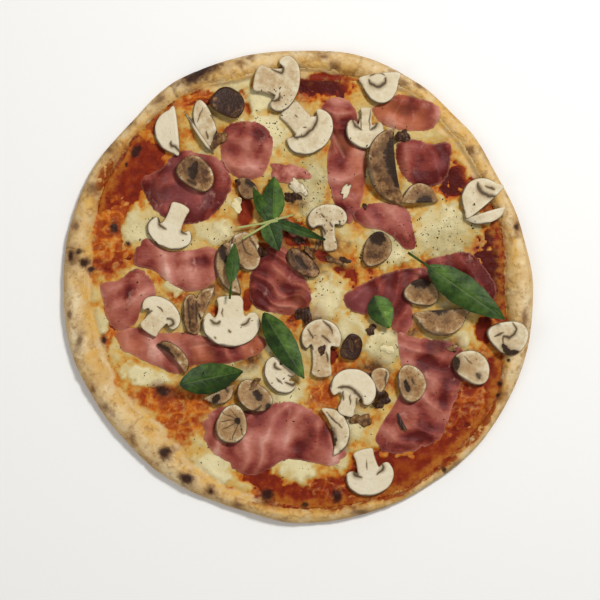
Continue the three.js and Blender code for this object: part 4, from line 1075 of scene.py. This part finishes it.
# For each slice: form, the way its cap faces in degrees, how browned it is, how thick its dark rim
# shows in plan squares, skin widened by painted shade on the side away from the light, and its dark
# gill lines and spots, each a width and points.
MUSHROOMS = {
    1: ("oval", -71, 0.25, 1.0, [(5, [(219, 130), (214, 145)]), (1, [(203, 108), (198, 122)]),
                                 (2, [(212, 116), (216, 122)]), (1.6, [(206, 132), (208, 140)])]),
    2: ("oval", -30, 1.6, 2, [(2, [(231, 118), (238, 112)])]),
    3: ("half", 186, 0.0, 1.6, [(2.6, [(171, 141), (172, 146), (177, 148), (181, 154)]),
                                (3, [(180, 119), (183, 128)])]),
    4: ("whole", -47, 0.1, 1.6, [(3, [(316, 113), (317, 120), (312, 129), (304, 136), (295, 138)]),
                                 (3, [(290, 134), (297, 139)]),
                                 (1.2, [(295, 115), (297, 118)]), (1.2, [(303, 128), (306, 128)])]),
    5: ("whole", -13, 0.2, 1.5, [(2.4, [(272, 70), (278, 73), (282, 74), (283, 70), (280, 66)]),
                                  (2.6, [(280, 94), (279, 99), (274, 102), (269, 100)]),
                                  (1.4, [(268, 93), (275, 96)])]),
    6: ("half", 276, 0.08, 1.4, [(3, [(369, 80), (371, 85), (378, 87), (384, 84), (385, 79)]),
                                 (1.8, [(370, 76), (377, 73), (384, 76)])]),
    7: ("whole", -94, 0.1, 1.4, [(2.8, [(353, 120), (356, 127), (361, 130)]),
                                 (2.8, [(378, 120), (375, 127), (370, 130)]),
                                 (1.1, [(361, 112), (361, 130)]), (1.1, [(370, 110), (369, 129)])]),
    8: ("half", 188, 0.95, 4, [(13, [(395, 136), (391, 152), (392, 168), (398, 186)]),
                               (10, [(400, 134), (404, 138)]), (6, [(402, 190), (409, 187)])]),
    9: ("half", 92, 0.85, 1.4, [(12, [(420, 203), (428, 200)])]),
    10: ("half", 287, 0.08, 1.2, [(2, [(470, 216), (503, 202)])]),
    11: ("half", 131, 0.12, 1.4, [(4, [(477, 184), (480, 191), (487, 196), (497, 198)]),
                                  (2, [(485, 186), (494, 190)])]),
    12: ("oval", -40, 1.0, 2, [(9, [(196, 163), (193, 172), (194, 178)]),
                               (3, [(203, 158), (212, 168)]), (4, [(188, 181), (196, 185)])]),
    13: ("oval", -50, 0.8, 1.6, [(11, [(249, 183), (255, 182)])]),
    14: ("whole", -114, 0.0, 1.7, [(2.6, [(158, 218), (161, 226), (166, 229)]),
                                   (2.8, [(188, 227), (182, 232), (187, 235)])]),
    15: ("oval", 62, 0.85, 1.4, [(13, [(374, 239), (381, 238)])]),
    16: ("whole", 96, 0.2, 1.5, [(2.2, [(340, 222), (338, 230), (342, 238)]),
                                 (2.2, [(322, 226), (325, 234)]), (1.4, [(346, 232), (348, 240)]),
                                 (1.6, [(330, 222), (333, 228)]), (1.4, [(321, 214), (325, 217)])]),
    17: ("oval", -40, 1.25, 2.2, [(5, [(296, 256), (306, 268)]), (3, [(290, 250), (294, 262)])]),
    18: ("half", 194, 0.55, 1.8, [(8, [(222, 246), (225, 262)]),
                                  (1.5, [(242, 240), (246, 252), (252, 255)]),
                                  (1.5, [(250, 238), (257, 250)]), (2, [(233, 236), (231, 255)]),
                                  (1.2, [(238, 262), (244, 268)])]),
    19: ("half", 158, 0.95, 1.6, [(7, [(213, 303), (212, 310)]), (2.6, [(188, 300), (190, 328)]),
                                  (2.6, [(196, 302), (197, 322)])]),
    20: ("whole", 53, 0.12, 1.5, [(2.3, [(142, 310), (148, 313), (152, 311)]),
                                  (2.8, [(167, 319), (172, 320), (173, 324), (168, 327)]),
                                  (1.2, [(158, 306), (163, 312)])]),
    21: ("whole", -88, 0.0, 1.6, [(2.8, [(211, 320), (216, 324), (220, 322)]),
                                  (2.8, [(242, 325), (247, 323), (250, 318)]),
                                  (1.6, [(229, 330), (230, 333)]), (1.2, [(215, 337), (216, 338)]),
                                  (1.2, [(222, 308), (223, 316)])]),
    22: ("half", 45, 0.85, 2.4, [(7, [(155, 343), (165, 349), (173, 357)])]),
    23: ("half", 295, 0.55, 2.2, [(6, [(214, 402), (218, 396)]), (3, [(225, 386), (228, 392)])]),
    24: ("oval", -35, 0.6, 1.4, [(8, [(256, 392), (259, 398)]), (8, [(268, 405), (270, 414)]),
                                 (3, [(252, 412), (262, 406)])]),
    25: ("oval", 78, 0.5, 1.6, [(5, [(238, 418), (238, 423)]), (0.9, [(222, 412), (236, 419)]),
                                (0.9, [(222, 430), (236, 422)]), (0.9, [(232, 440), (238, 424)]),
                                (0.9, [(230, 408), (238, 418)]), (0.9, [(220, 421), (236, 420)]),
                                (0.9, [(244, 436), (240, 424)])]),
    26: ("whole", -148, 0.05, 1.4, [(2.2, [(275, 363), (275, 367), (281, 370)]),
                                    (2.6, [(285, 382), (292, 385), (296, 381), (289, 375)]),
                                    (1.2, [(276, 378), (282, 384)])]),
    27: ("half", 15, 0.2, 2.6, [(8, [(325, 421), (330, 433), (334, 444)]),
                                (1.5, [(326, 412), (342, 428)])]),
    28: ("oval", -92, 0.5, 1.8, [(2, [(386, 372), (385, 384)])]),
    29: ("whole", 71, 0.05, 2.0, [(3, [(338, 388), (344, 387), (353, 390), (360, 397), (363, 402)]),
                                  (1.6, [(343, 391), (343, 400)]), (1.8, [(357, 398), (356, 406)]),
                                  (1.4, [(350, 394), (350, 404)])]),
    30: ("oval", 100, 0.6, 1.6, [(6, [(405, 381), (408, 390)]), (2, [(411, 378), (414, 384)])]),
    31: ("whole", -75, 0.0, 1.6, [(3, [(355, 468), (355, 475), (362, 478)]),
                                  (3, [(381, 462), (383, 468), (377, 474)]),
                                  (1.2, [(366, 460), (367, 470)])]),
    32: ("oval", -35, 0.3, 1.8, [(9, [(454, 358), (456, 368)]), (4, [(477, 373), (480, 378)]),
                                 (1.2, [(464, 356), (472, 364)])]),
    33: ("oval", 170, 0.2, 1.4, [(6, [(502, 345), (508, 352), (516, 352)]),
                                 (2.4, [(512, 323), (515, 331), (509, 338), (503, 336),
                                        (502, 343)]),
                                 (1.4, [(494, 336), (503, 332)])]),
    34: ("half", 274, 0.7, 3.6, [(11, [(428, 307), (440, 309), (450, 305)])]),
    35: ("oval", -8, 0.7, 1.6, [(11, [(414, 283), (428, 282)])]),
    36: ("whole", 91, 0.25, 1.5, [(2, [(323, 320), (330, 327), (332, 334)]),
                                  (2.4, [(322, 336), (330, 342)]), (1.8, [(326, 352), (328, 362)]),
                                  (1.6, [(308, 330), (313, 338)])]),
    37: ("oval", 70, 1.6, 2, [(2, [(350, 340), (352, 350)])]),
}
TOWARDS_SHADE = (-0.72, -0.69)
SLICE_CELL = 0.45 * MM
PIT_WIDTH = 5


def build_mushrooms():
    """The slices of mushroom, each on the plane of its solid's top."""
    finish = mushroom_finish()
    for number, looks in MUSHROOMS.items():
        node = f"mushroom_slice_{number:02d}"
        loop, points = cad_top(node)
        x0, y0 = points[:, 0].mean(), points[:, 1].mean()
        sums = np.stack([points[:, 0] - x0, points[:, 1] - y0, np.ones(len(points))], -1)
        slope = np.linalg.lstsq(sums, points[:, 2], rcond=None)[0]
        low = min(v.co.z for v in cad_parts[node].data.vertices)
        thick = points[:, 2].min() - low
        build_slice(node, smooth_loop(loop, 130), (x0, y0, slope), thick, finish, looks)


def build_slice(node, loop, lie, thick, finish, looks):
    """One slice: a slab with soft edges, a slight curl, sunk gills, dark skin and painted shade."""
    form, way, cooked, rim_width, lines = looks
    x0, y0, slope = lie
    number = int(node[-2:])
    piece = Piece(node.replace("_slice", ""), blank(loop, SLICE_CELL, wall=3))
    x, y, ring = piece.x, piece.y, piece.ring.astype(int)
    inside, _ = edge_distance(x, y, loop)
    c, s = cos_sin(way)
    toward, sideways = (x - x0) * c + (y - y0) * s, (y - y0) * c - (x - x0) * s
    reach = toward.max()
    bulk = np.hypot(x - x0, y - y0) + 1e-9
    start = {"whole": -0.12, "half": -0.55, "oval": -9}[form] * reach
    dome = step(start - 0.001, start + 0.001, toward)
    gill = stroke_reach(x, y, lines)
    pit = stroke_reach(x, y, [line for line in lines if line[0] >= PIT_WIDTH])
    flat = slope[2] + slope[0] * (x - x0) + slope[1] * (y - y0)
    soft = 0.55 * MM * (1 - step(0, 0.0016, inside)) ** 1.5
    warp = (0.25 + 0.5 * cooked) * MM * ((toward / reach) ** 2 - (sideways / reach) ** 2) * 0.6
    grainy = 0.16 * MM * rough(x, y, 0.0032, 400 + number, 3)
    top = flat - soft + warp - (1 - step(0.25, 0.7, gill)) * 0.5 * MM + grainy
    z = top - thick * np.array([0, 0.35, 0.85, 1.0])[ring]
    drop = np.percentile((top - thick - laid.at(x, y))[ring == 0], 4)
    inset = np.array([0, -0.15, 0.0, 0.35])[ring] * MM
    piece.x = x - (x - x0) / bulk * inset
    piece.y = y - (y - y0) / bulk * inset
    piece.z = z - max(0, drop)
    # Painted shade: the dark skin at the edge widens on the side away from the light.
    facing = ((x - x0) * TOWARDS_SHADE[0] + (y - y0) * TOWARDS_SHADE[1]) / bulk
    ragged = 1 + 0.5 * wander(x, y, 0.004, 500 + number)
    width = rim_width * SQUARE * (0.22 + 0.75 * step(-0.3, 0.9, facing)) * ragged
    turn = np.arctan2(y - y0, x - x0) + 0.05 * wander(x, y, 0.003, 520 + number)
    piece.value("fan", np.sin(turn * 44) * step(0.2, 0.5, bulk / reach))
    piece.value("rim", np.clip(inside, 0, 1) / width)
    piece.value("gill", gill)
    piece.value("pit", pit)
    piece.value("cooked", cooked)
    piece.value("dome", dome)
    piece.value("stem", (1 - dome) * (form == "whole"))
    piece.value("inside", inside / MM)
    piece.done(finish, "mushroom_cooked" if cooked > 0.5 else "mushroom", [node])


def mushroom_finish():
    c = colours()
    f = Finish("mushroom flesh")
    rim, gill, pit, cooked = f.marks("rim", "gill", "pit", "cooked")
    dome, stem, inside, fan = f.marks("dome", "stem", "inside", "fan")
    fine, mid, coarse = f.grain(0.0008, 4, 0.6), f.grain(0.0022, 4, 0.6), f.grain(0.0065, 4, 0.6)
    jitter = (mid - 0.5) * 0.6 + (fine - 0.5) * 0.3
    spread = (coarse - 0.5) * (0.3 + cooked * 2.2) + (mid - 0.5) * (0.15 + cooked * 1.0)
    browned = cooked + stem * 0.08 + spread
    light = inside.within(2.8, 0.7) * cooked * cooked.within(1.4, 1.0) * 0.45
    deep = inside.over(2.5, 7.0) * cooked * 0.2
    tone = (browned - light + deep) * 0.6 + 0.04
    base = f.shades(tone, (0, "dfd3b8"), (0.1, c.mushroom), (0.26, "b89b72"), (0.42, "a37d52"),
                    (0.58, c.mushroom_cooked), (0.78, "573820"), (1, "321c13"))
    base = f.blend(base, "5c4127", fan.over(0.1, 0.9) * cooked.over(0.3, 0.8) * 0.4)
    ripe = (mid * 0.5 + fine * 0.5).over(0.58, 0.72)
    base = f.blend(base, "8c7048", ripe * 0.3)
    pits = f.pores(0.0017).within(0.3, 0.12)
    base = f.blend(base, "3a2414", pits * cooked.over(0.2, 0.7) * mid.over(0.4, 0.6) * 0.8)
    skin = f.blend(tuple(c.mushroom_skin), "5a3d24", fine)
    halo = (gill + jitter * 0.9).within(1.7, 0.4)
    base = f.blend(base, f.blend(tint("937a57"), "6a4c30", cooked), halo * 0.65)
    line = (gill + jitter * 1.1).within(0.75, 0.1)
    base = f.blend(base, "3d2a1a", line * (0.62 + mid * 0.5))
    hollow = (pit + jitter * 1.3 + (coarse - 0.5) * 0.6).within(0.62, 0.4)
    base = f.blend(base, f.blend(tint("150c07"), "3d2817", mid), hollow * 0.93)
    # The dark skin at the edge, widened by painted shade on the side away from the light.
    edge = (rim + jitter * 1.2).within(1.5, 0.3) * dome
    base = f.blend(base, skin, edge * 0.85)
    base = f.blend(base, "8a7350", inside.within(0.5, -0.2) * (1 - dome) * 0.6)
    bump = f.relief(fine, 0.00025, 0.6)
    bump = f.relief(mid, 0.001, 0.5, bump)
    return f.done(base, 0.55 - cooked * 0.14 + fine * 0.12, bump, shine=0.16)


# ---------------------------------------------------------------- basil

# For each leaf: foot, tip, width, bare part of its length, lightness of its left and right half:
# painted light and shade as each half faces the light, and above 1 the paler green of a bare stalk.
# Places and widths are in plan squares. A leaf no wider than STALK_WIDTH is a bare stalk.
STALK_WIDTH = 8
BASIL = {
    "basil_leaf_01": [((264, 313), (304, 378), 27, 0.0, 0.6, 0.22)],
    "basil_leaf_02": [((181, 384), (243, 371), 31, 0.0, 0.42, 0.15)],
    "basil_leaf_03": [((407, 253), (503, 319), 32, 0.2, 0.5, 0.38)],
    "basil_leaf_04": [((374, 296), (389, 328), 26, 0.0, 0.75, 0.3)],
    "basil_leaf_05": [((230, 299), (235, 244), 14, 0.3, 0.4, 0.5)],
    "basil_sprig": [
        ((273, 221), (274, 177), 23, 0.0, 0.35, 0.65), ((268, 221), (254, 189), 13, 0.0, 0.4, 0.5),
        ((266, 217), (279, 251), 21, 0.0, 0.3, 0.6), ((268, 219), (325, 240), 11, 0.0, 0.2, 0.3),
        ((278, 221), (237, 228), 2.4, 1.0, 1.3, 1.3), ((278, 218), (243, 239), 2.4, 1.0, 1.3, 1.3),
        ((264, 223), (293, 215), 2.4, 1.0, 1.3, 1.3),
    ],
}


def leaf_half(part, wide, stalk):
    """Half width of a leaf from its foot, 0, to its tip, 1, in plan squares."""
    stalk_half = min(wide, 2) / 2
    blade = np.clip((part - stalk) / max(1 - stalk, 1e-3), 0, 1)
    full = np.maximum(stalk_half, np.sin(np.pi * blade**0.82) ** 0.8 * wide / 2)
    return np.where(part <= stalk, stalk_half, full)


def build_basil():
    """The loose leaves and the sprig, each laid on the top of its solid."""
    finish = basil_finish()
    for node, leaves in BASIL.items():
        _, points = cad_top(node)
        piece = Piece(node.replace("_leaf", ""), leaf_sheets(len(leaves)))
        which = piece.ring.astype(int)
        u, v = (piece.x + 1) / 2, piece.y.copy()
        light = np.zeros_like(u)
        for k, leaf in enumerate(leaves):
            own = which == k
            light[own] = lay_leaf(piece, own, u[own], v[own], k, leaf, points)
        veins = leaf_veins(u, v)
        blade = np.array([leaf[2] > STALK_WIDTH for leaf in leaves])[which]
        cup = (np.abs(v) - 0.5) * 0.6 * MM
        puff = (1 - veins) * (1 - np.abs(v)) + rough(piece.x, piece.y, 0.008, 7)
        piece.z = piece.z + np.where(blade, cup + 0.3 * MM * puff - 0.5 * MM, -0.2 * MM)
        piece.ring = np.zeros_like(u)
        piece.value("vein", veins * blade)
        piece.value("light", light)
        piece.value("rib", (1 - step(0.0, 0.06, np.abs(v))) * blade)
        piece.value("margin", step(0.8, 1, np.abs(v)))
        thicken(piece.done(finish, "basil", [node]), sizes().leaf)


def leaf_sheets(count):
    """A square sheet for each leaf, told apart by the layer "ring"."""
    bm = bmesh.new()
    leaf_of = bm.verts.layers.float.new("ring")
    for k in range(count):
        for v in bmesh.ops.create_grid(bm, x_segments=64, y_segments=26, size=1)["verts"]:
            v[leaf_of] = k
    crisp_border(bm)
    return bm


def lay_leaf(piece, own, u, v, seed, leaf, points):
    """Moves one leaf's points to their places, u along it and v across it.

    Gives back how light each of them is: painted light and shade, by the half of the leaf it is on.
    """
    foot, tip, wide, stalk, left, right = leaf
    a, b = plan([foot, tip])
    along = b - a
    side = np.array([-along[1], along[0]]) / np.hypot(*along)
    wavy = 1 + 0.02 * np.sin(u * 37 + seed) * (wide > STALK_WIDTH)
    w = leaf_half(u, wide, stalk) * SQUARE * 0.98 * wavy
    place = a + u[:, None] * along + side * (v * w)[:, None]
    piece.x[own], piece.y[own] = place.T
    outline = leaf_outline(a, along, side, wide, stalk)
    near, _ = edge_distance(points[:, 0], points[:, 1], outline)
    piece.z[own] = leaf_height(points[near > -0.002], a, along, side, u, v * w)
    return left + (right - left) * step(-0.06, 0.06, -v)


def leaf_outline(a, along, side, wide, stalk):
    part = np.linspace(0, 1, 14)
    w = leaf_half(part, wide, stalk) * SQUARE
    middle = a + part[:, None] * along
    return np.vstack([middle - side * w[:, None], (middle + side * w[:, None])[::-1]])


def leaf_height(points, a, along, side, u, across):
    """Height of the solid's top under a leaf, fitted as a smooth curve along and across it."""
    rel = points[:, :2] - a
    pu, pv = rel @ along / (along**2).sum(), rel @ side
    fit = np.linalg.lstsq(leaf_terms(pu, pv), points[:, 2], rcond=1e-6)[0]
    return leaf_terms(u, across) @ fit


def leaf_terms(s, t):
    """The terms of the curve along a leaf, s, and across it, t."""
    return np.stack([np.ones_like(s), s, s**2, s**3, t, t**2 * 50, s * t], -1)


def leaf_veins(u, v):
    """1 on the midrib and the side veins, 0 between them."""
    slant = (u * 5.6 - np.abs(v) ** 1.4 * 1.2 + 0.3 * (v > 0)) % 1
    side = 1 - step(0.0, 0.17, np.minimum(slant, 1 - slant))
    rib = 1 - step(0.02, 0.1, np.abs(v))
    return np.maximum(rib, side * 0.6 * (1 - step(0.6, 1.0, np.abs(v))))


def basil_finish():
    c = colours()
    f = Finish("basil leaf")
    vein, light, rib, margin = f.marks("vein", "light", "rib", "margin")
    fine, mid, coarse = f.grain(0.001, 3), f.grain(0.003, 3), f.grain(0.009, 3)
    # Painted light and shade: each half of a leaf lighter or darker as it faces the light; bare
    # stalks paler in their own colour.
    share = light + (coarse - 0.5) * 1.3 + (mid - 0.5) * 0.5 - 0.06
    base = f.shades(share, (0, "1a2c08"), (0.25, c.basil), (0.6, "486224"), (0.88, c.basil_light),
                    (1, "7a9147"))
    base = f.blend(base, "25390e", vein * 0.15)
    base = f.blend(base, "6d8340", rib * 0.35)
    base = f.blend(base, "a2a565", light.over(1.0, 1.25) * 0.9)
    base = f.blend(base, "1f300e", margin * 0.4)
    bump = f.relief(fine, 0.0002, 0.4)
    bump = f.relief(1 - vein, 0.0004, 0.35, bump)
    bump = f.relief(mid, 0.0008, 0.4, bump)
    return f.done(base, 0.4 + fine * 0.16, bump, shine=0.18)


# ---------------------------------------------------------------- small things

# Small loose bits that have no solid: middle, reach across and down, and turn, in plan squares.
SCRAPS = {
    "ham_scraps": [(288, 173, 18, 10, 20), (292, 228, 16, 7, 30)],
    "pale_mushroom_scraps": [(298, 187, 10, 6, 55), (346, 191, 3.5, 9, 25), (199, 134, 2, 23, -33),
                             (232, 250, 3, 6, 0)],
    "brown_mushroom_scraps": [(219, 140, 5, 10, 30), (362, 420, 9, 7, 0), (310, 252, 8, 3, 40),
                              (255, 383, 7, 3, -40), (333, 260, 8, 3, 20), (318, 243, 3, 6, 20),
                              (452, 348, 6, 3, 0)],
    "dark_mushroom_scraps": [(292, 197, 8, 5, 20), (304, 315, 7, 9, 0), (401, 423, 3.2, 8, -20),
                             (382, 400, 8, 8, 0), (345, 260, 5, 3, 20), (365, 206, 2.2, 2.8, 0),
                             (371, 330, 5, 5, 0), (403, 136, 6, 7, 0), (262, 252, 5, 4, 0),
                             (299, 240, 6, 3, 30), (322, 350, 3, 6, 0), (238, 182, 3, 3, 0)],
    "cheese_scraps": [(237, 205, 5, 7, -30), (388, 349, 6, 4, 10)],
}
BROWNED_SCRAPS = {"pale_mushroom_scraps": 0.1, "brown_mushroom_scraps": 0.95,
                  "dark_mushroom_scraps": 1.75}
SCRAP_CELL = 0.5 * MM


def build_scraps():
    """Scraps of mushroom, ham and cheese that lie between the slices."""
    made = bpy.data.materials
    finishes = {"ham": made["cooked ham"], "cheese": made["melted cheese"]}
    for kind, places in SCRAPS.items():
        pieces = [build_scrap(kind, number, *place) for number, place in enumerate(places)]
        first = kind.split("_")[0]
        cooked = BROWNED_SCRAPS.get(kind, 0)
        slot = first if first in finishes else "mushroom_cooked" if cooked > 0.5 else "mushroom"
        material = finishes.get(first, made["mushroom flesh"])
        thing = pieces[0].done(material, slot, cover=False, others=pieces[1:])
        thicken(thing, sizes().ham)


def build_scrap(kind, number, px, py, rx, ry, turn):
    """One ragged scrap, draped over what is laid."""
    way = np.linspace(0, TAU, 48, endpoint=False)
    waves = ((0.22, 2, 2), (0.16, 3, 5), (0.1, 5, 3), (0.05, 9, 7))
    uneven = 1 + sum(size * np.sin(count * way + number * seed) for size, count, seed in waves)
    c, s = cos_sin(-turn)
    u, v = np.cos(way) * rx * SQUARE * uneven, np.sin(way) * ry * SQUARE * uneven
    loop = plan((px, py)) + np.stack([u * c - v * s, u * s + v * c], -1)
    piece = Piece(kind, blank(loop, SCRAP_CELL))
    x, y = piece.x, piece.y
    inside, _ = edge_distance(x, y, loop)
    full = step(0, 0.002, inside)
    bulge = full * (0.7 + 0.8 * rough(x, y, 0.005, number)) * MM
    piece.z = laid.at(x, y, laid.draped(1.4 * MM)) + 0.35 * MM + bulge
    if kind == "ham_scraps":
        piece.value("light", 0.45 + 0.6 * rough(x, y, 0.006, number) + 0.1 * full)
        piece.value("edge", inside / MM)
        piece.value("warm", 0.2)
        piece.value("fold_highlight", 0)
    elif kind == "cheese_scraps":
        piece.value("amount", 1.1)
        piece.value("pale", 1)
        piece.value("char", 3)
    else:
        piece.value("rim", 0.4 + inside / (0.6 * MM))
        piece.value("gill", 0.5 + 1.6 * (1 + rough(x, y, 0.004, number)))
        piece.value("fan", np.sin(x / (0.35 * MM)))
        piece.value("cooked", BROWNED_SCRAPS[kind])
        piece.value("dome", 1)
        piece.value("inside", 4)
        piece.value("pit", 3)
    piece.set_down()
    return piece


# Where most of the dried herbs lie.
HERBY = [
    (316, 190, 18, 34, 5), (334, 218, 18, 14, 0), (430, 240, 44, 24, 0), (384, 244, 22, 18, 0),
    (318, 282, 20, 18, 0), (268, 128, 26, 20, 0), (300, 240, 34, 18, 10), (290, 98, 20, 10, 0),
    (352, 268, 18, 10, 0), (228, 236, 20, 8, 0), (396, 350, 20, 12, 0),
]
CRUMB_GAP = 4.0
FLECK_TRIES = 40000
FLECK_FIELD = 0.142
FLECK_REACH = 0.138


def build_flecks():
    """Dried herbs and pepper: one small crumb, many times over, as one mesh."""
    count = sizes().fleck_count
    piece = Piece("herb_flecks", row_of_crumbs(count))
    which = np.rint(piece.x / CRUMB_GAP).astype(int)
    draw = np.random.default_rng(77)
    x, y = draw.uniform(-FLECK_FIELD, FLECK_FIELD, (2, FLECK_TRIES))
    amount, _, _ = cheese_amount(x, y)
    wanted = 0.03 + 0.25 * np.clip(amount, 0, 1) ** 3 + 0.9 * patches(x, y, HERBY, 0.7)
    lucky = draw.random(len(x)) < wanted * 0.5
    kept = np.resize(np.flatnonzero((np.hypot(x, y) < FLECK_REACH) & lucky)[:count], count)
    x, y = x[kept], y[kept]
    size = sizes().fleck * (0.35 + 1.1 * draw.random(count) ** 2.5)
    long, flat = draw.uniform(0.7, 1.8, count), draw.uniform(0.4, 0.8, count)
    turn = draw.uniform(0, TAU, count)
    across = (piece.x - which * CRUMB_GAP) * size[which] * long[which]
    up = piece.y * size[which] * flat[which]
    c, s = np.cos(turn)[which], np.sin(turn)[which]
    piece.x, piece.y = x[which] + across * c - up * s, y[which] + across * s + up * c
    piece.z = laid.at(x, y)[which] + size[which] * (0.1 + 0.4 * piece.z)
    piece.value("kind", draw.random(count)[which])
    return piece.done(herb_finish(), "basil", cover=False)


def row_of_crumbs(count):
    """Round crumbs in a row, doubled until there are enough of them."""
    bm = bmesh.new()
    bmesh.ops.create_icosphere(bm, subdivisions=1, radius=1)
    made = 1
    while made < count:
        copied = bmesh.ops.duplicate(bm, geom=bm.verts[:] + bm.edges[:] + bm.faces[:])["geom"]
        moved = [g for g in copied if isinstance(g, bmesh.types.BMVert)]
        bmesh.ops.translate(bm, vec=(CRUMB_GAP * made, 0, 0), verts=moved)
        made *= 2
    spare = [v for v in bm.verts if v.co.x > CRUMB_GAP * (count - 0.5)]
    bmesh.ops.delete(bm, geom=spare, context="VERTS")
    return bm


def herb_finish():
    c = colours()
    f = Finish("dried herbs")
    base = f.shades(*f.marks("kind"), (0, "15100a"), (0.35, "2c2610"), (0.6, c.herb),
                    (0.9, "5d5a28"), (1, "7a6a38"))
    base = f.blend(base, "241c0c", f.grain(0.0008, 2).over(0.45, 0.6) * 0.5)
    bump = f.relief(f.grain(0.0004), 0.0002)
    return f.done(base, 0.7, bump, shine=0.1)


# ---------------------------------------------------------------- stage

# For each lamp: name, place, width and power. The sky is an even white.
LAMPS = [("key", (0.52, 0.62, 1.3), 0.3, 16.5), ("fill", (-0.9, -0.5, 1.2), 0.9, 3.0)]
SKY_STRENGTH = 0.37
# The camera looks straight down and takes in this many plan squares at the height of the toppings.
CAMERA_HEIGHT = 1.5
TOPPING_HEIGHT = 0.008
TAKEN_IN = 600
SENSOR = 36


def build_stage():
    """A plain pale floor, soft lights and the camera."""
    bm = bmesh.new()
    bmesh.ops.create_grid(bm, x_segments=1, y_segments=1, size=3)
    bmesh.ops.translate(bm, vec=(0, 0, -0.0002), verts=bm.verts)
    mesh = bpy.data.meshes.new("floor")
    bm.to_mesh(mesh)
    bm.free()
    floor = bpy.data.objects.new("floor", mesh)
    bpy.context.collection.objects.link(floor)
    mesh.materials.append(Finish("floor").done(tuple(colours().floor), 0.8))
    scene = bpy.context.scene
    scene.view_settings.view_transform = "Standard"
    scene.world = bpy.data.worlds.new("studio")
    scene.world.use_nodes = True
    sky = scene.world.node_tree.nodes["Background"].inputs
    sky["Color"].default_value = (1, 1, 1, 1)
    sky["Strength"].default_value = SKY_STRENGTH
    for name, at, wide, power in LAMPS:
        light = bpy.data.lights.new(name, "AREA")
        light.shape = "DISK"
        light.size = wide
        light.energy = power
        lamp = bpy.data.objects.new(name, light)
        lamp.location = at
        lamp.rotation_euler = (-Vector(at)).to_track_quat("-Z", "Y").to_euler()
        bpy.context.collection.objects.link(lamp)
    view = bpy.data.cameras.new("camera")
    camera = bpy.data.objects.new("camera", view)
    camera.location = (*plan((TAKEN_IN / 2, TAKEN_IN / 2)), CAMERA_HEIGHT)
    view.sensor_width = SENSOR
    view.lens = SENSOR * (CAMERA_HEIGHT - TOPPING_HEIGHT) / (TAKEN_IN * SQUARE)
    view.clip_start = 0.05
    bpy.context.collection.objects.link(camera)
    scene.camera = camera


# ---------------------------------------------------------------- add-on


class PIZZA_OT_crust(bpy.types.Operator):
    """Build the dough with its baked rim"""

    bl_idname = "pizza.crust"
    bl_label = "Crust"

    def execute(self, context):
        build_crust()
        return {"FINISHED"}


class PIZZA_OT_sauce(bpy.types.Operator):
    """Spread the tomato sauce"""

    bl_idname = "pizza.sauce"
    bl_label = "Sauce"

    def execute(self, context):
        build_sauce()
        return {"FINISHED"}


class PIZZA_OT_cheese(bpy.types.Operator):
    """Melt the cheese over the sauce"""

    bl_idname = "pizza.cheese"
    bl_label = "Cheese"

    def execute(self, context):
        build_cheese()
        return {"FINISHED"}


class PIZZA_OT_ham(bpy.types.Operator):
    """Lay the folded slices of ham"""

    bl_idname = "pizza.ham"
    bl_label = "Ham"

    def execute(self, context):
        build_ham()
        return {"FINISHED"}


class PIZZA_OT_mushrooms(bpy.types.Operator):
    """Lay the slices of mushroom"""

    bl_idname = "pizza.mushrooms"
    bl_label = "Mushrooms"

    def execute(self, context):
        build_mushrooms()
        return {"FINISHED"}


class PIZZA_OT_scraps(bpy.types.Operator):
    """Scatter scraps between the slices"""

    bl_idname = "pizza.scraps"
    bl_label = "Scraps"

    def execute(self, context):
        build_scraps()
        return {"FINISHED"}


class PIZZA_OT_basil(bpy.types.Operator):
    """Lay the basil leaves and the sprig"""

    bl_idname = "pizza.basil"
    bl_label = "Basil"

    def execute(self, context):
        build_basil()
        return {"FINISHED"}


class PIZZA_OT_herbs(bpy.types.Operator):
    """Sprinkle dried herbs and pepper"""

    bl_idname = "pizza.herbs"
    bl_label = "Herbs"

    def execute(self, context):
        build_flecks()
        return {"FINISHED"}


class PIZZA_OT_stage(bpy.types.Operator):
    """Set the floor, the lights and the camera"""

    bl_idname = "pizza.stage"
    bl_label = "Stage"

    def execute(self, context):
        build_stage()
        return {"FINISHED"}


STEPS = [PIZZA_OT_crust, PIZZA_OT_sauce, PIZZA_OT_cheese, PIZZA_OT_ham, PIZZA_OT_mushrooms,
         PIZZA_OT_scraps, PIZZA_OT_basil, PIZZA_OT_herbs, PIZZA_OT_stage]


class PIZZA_PT_panel(bpy.types.Panel):
    """Lists the steps and what can be changed"""

    bl_label = "Pizza"
    bl_space_type = "VIEW_3D"
    bl_region_type = "UI"
    bl_category = "Pizza"

    def draw(self, context):
        column = self.layout.column()
        for each in STEPS:
            column.operator(each.bl_idname)
        for group in (sizes(), colours()):
            for name in group.__annotations__:
                column.prop(group, name)


CLASSES = [PizzaSizes, PizzaColours, *STEPS, PIZZA_PT_panel]


def register():
    for each in CLASSES:
        bpy.utils.register_class(each)
    bpy.types.Scene.pizza_sizes = bpy.props.PointerProperty(type=PizzaSizes)
    bpy.types.Scene.pizza_colours = bpy.props.PointerProperty(type=PizzaColours)


def unregister():
    del bpy.types.Scene.pizza_colours
    del bpy.types.Scene.pizza_sizes
    for each in reversed(CLASSES):
        bpy.utils.unregister_class(each)


def main():
    register()
    bpy.ops.pizza.crust()
    bpy.ops.pizza.sauce()
    bpy.ops.pizza.cheese()
    bpy.ops.pizza.ham()
    bpy.ops.pizza.mushrooms()
    bpy.ops.pizza.scraps()
    bpy.ops.pizza.basil()
    bpy.ops.pizza.herbs()
    bpy.ops.pizza.stage()


if __name__ == "__main__":
    main()
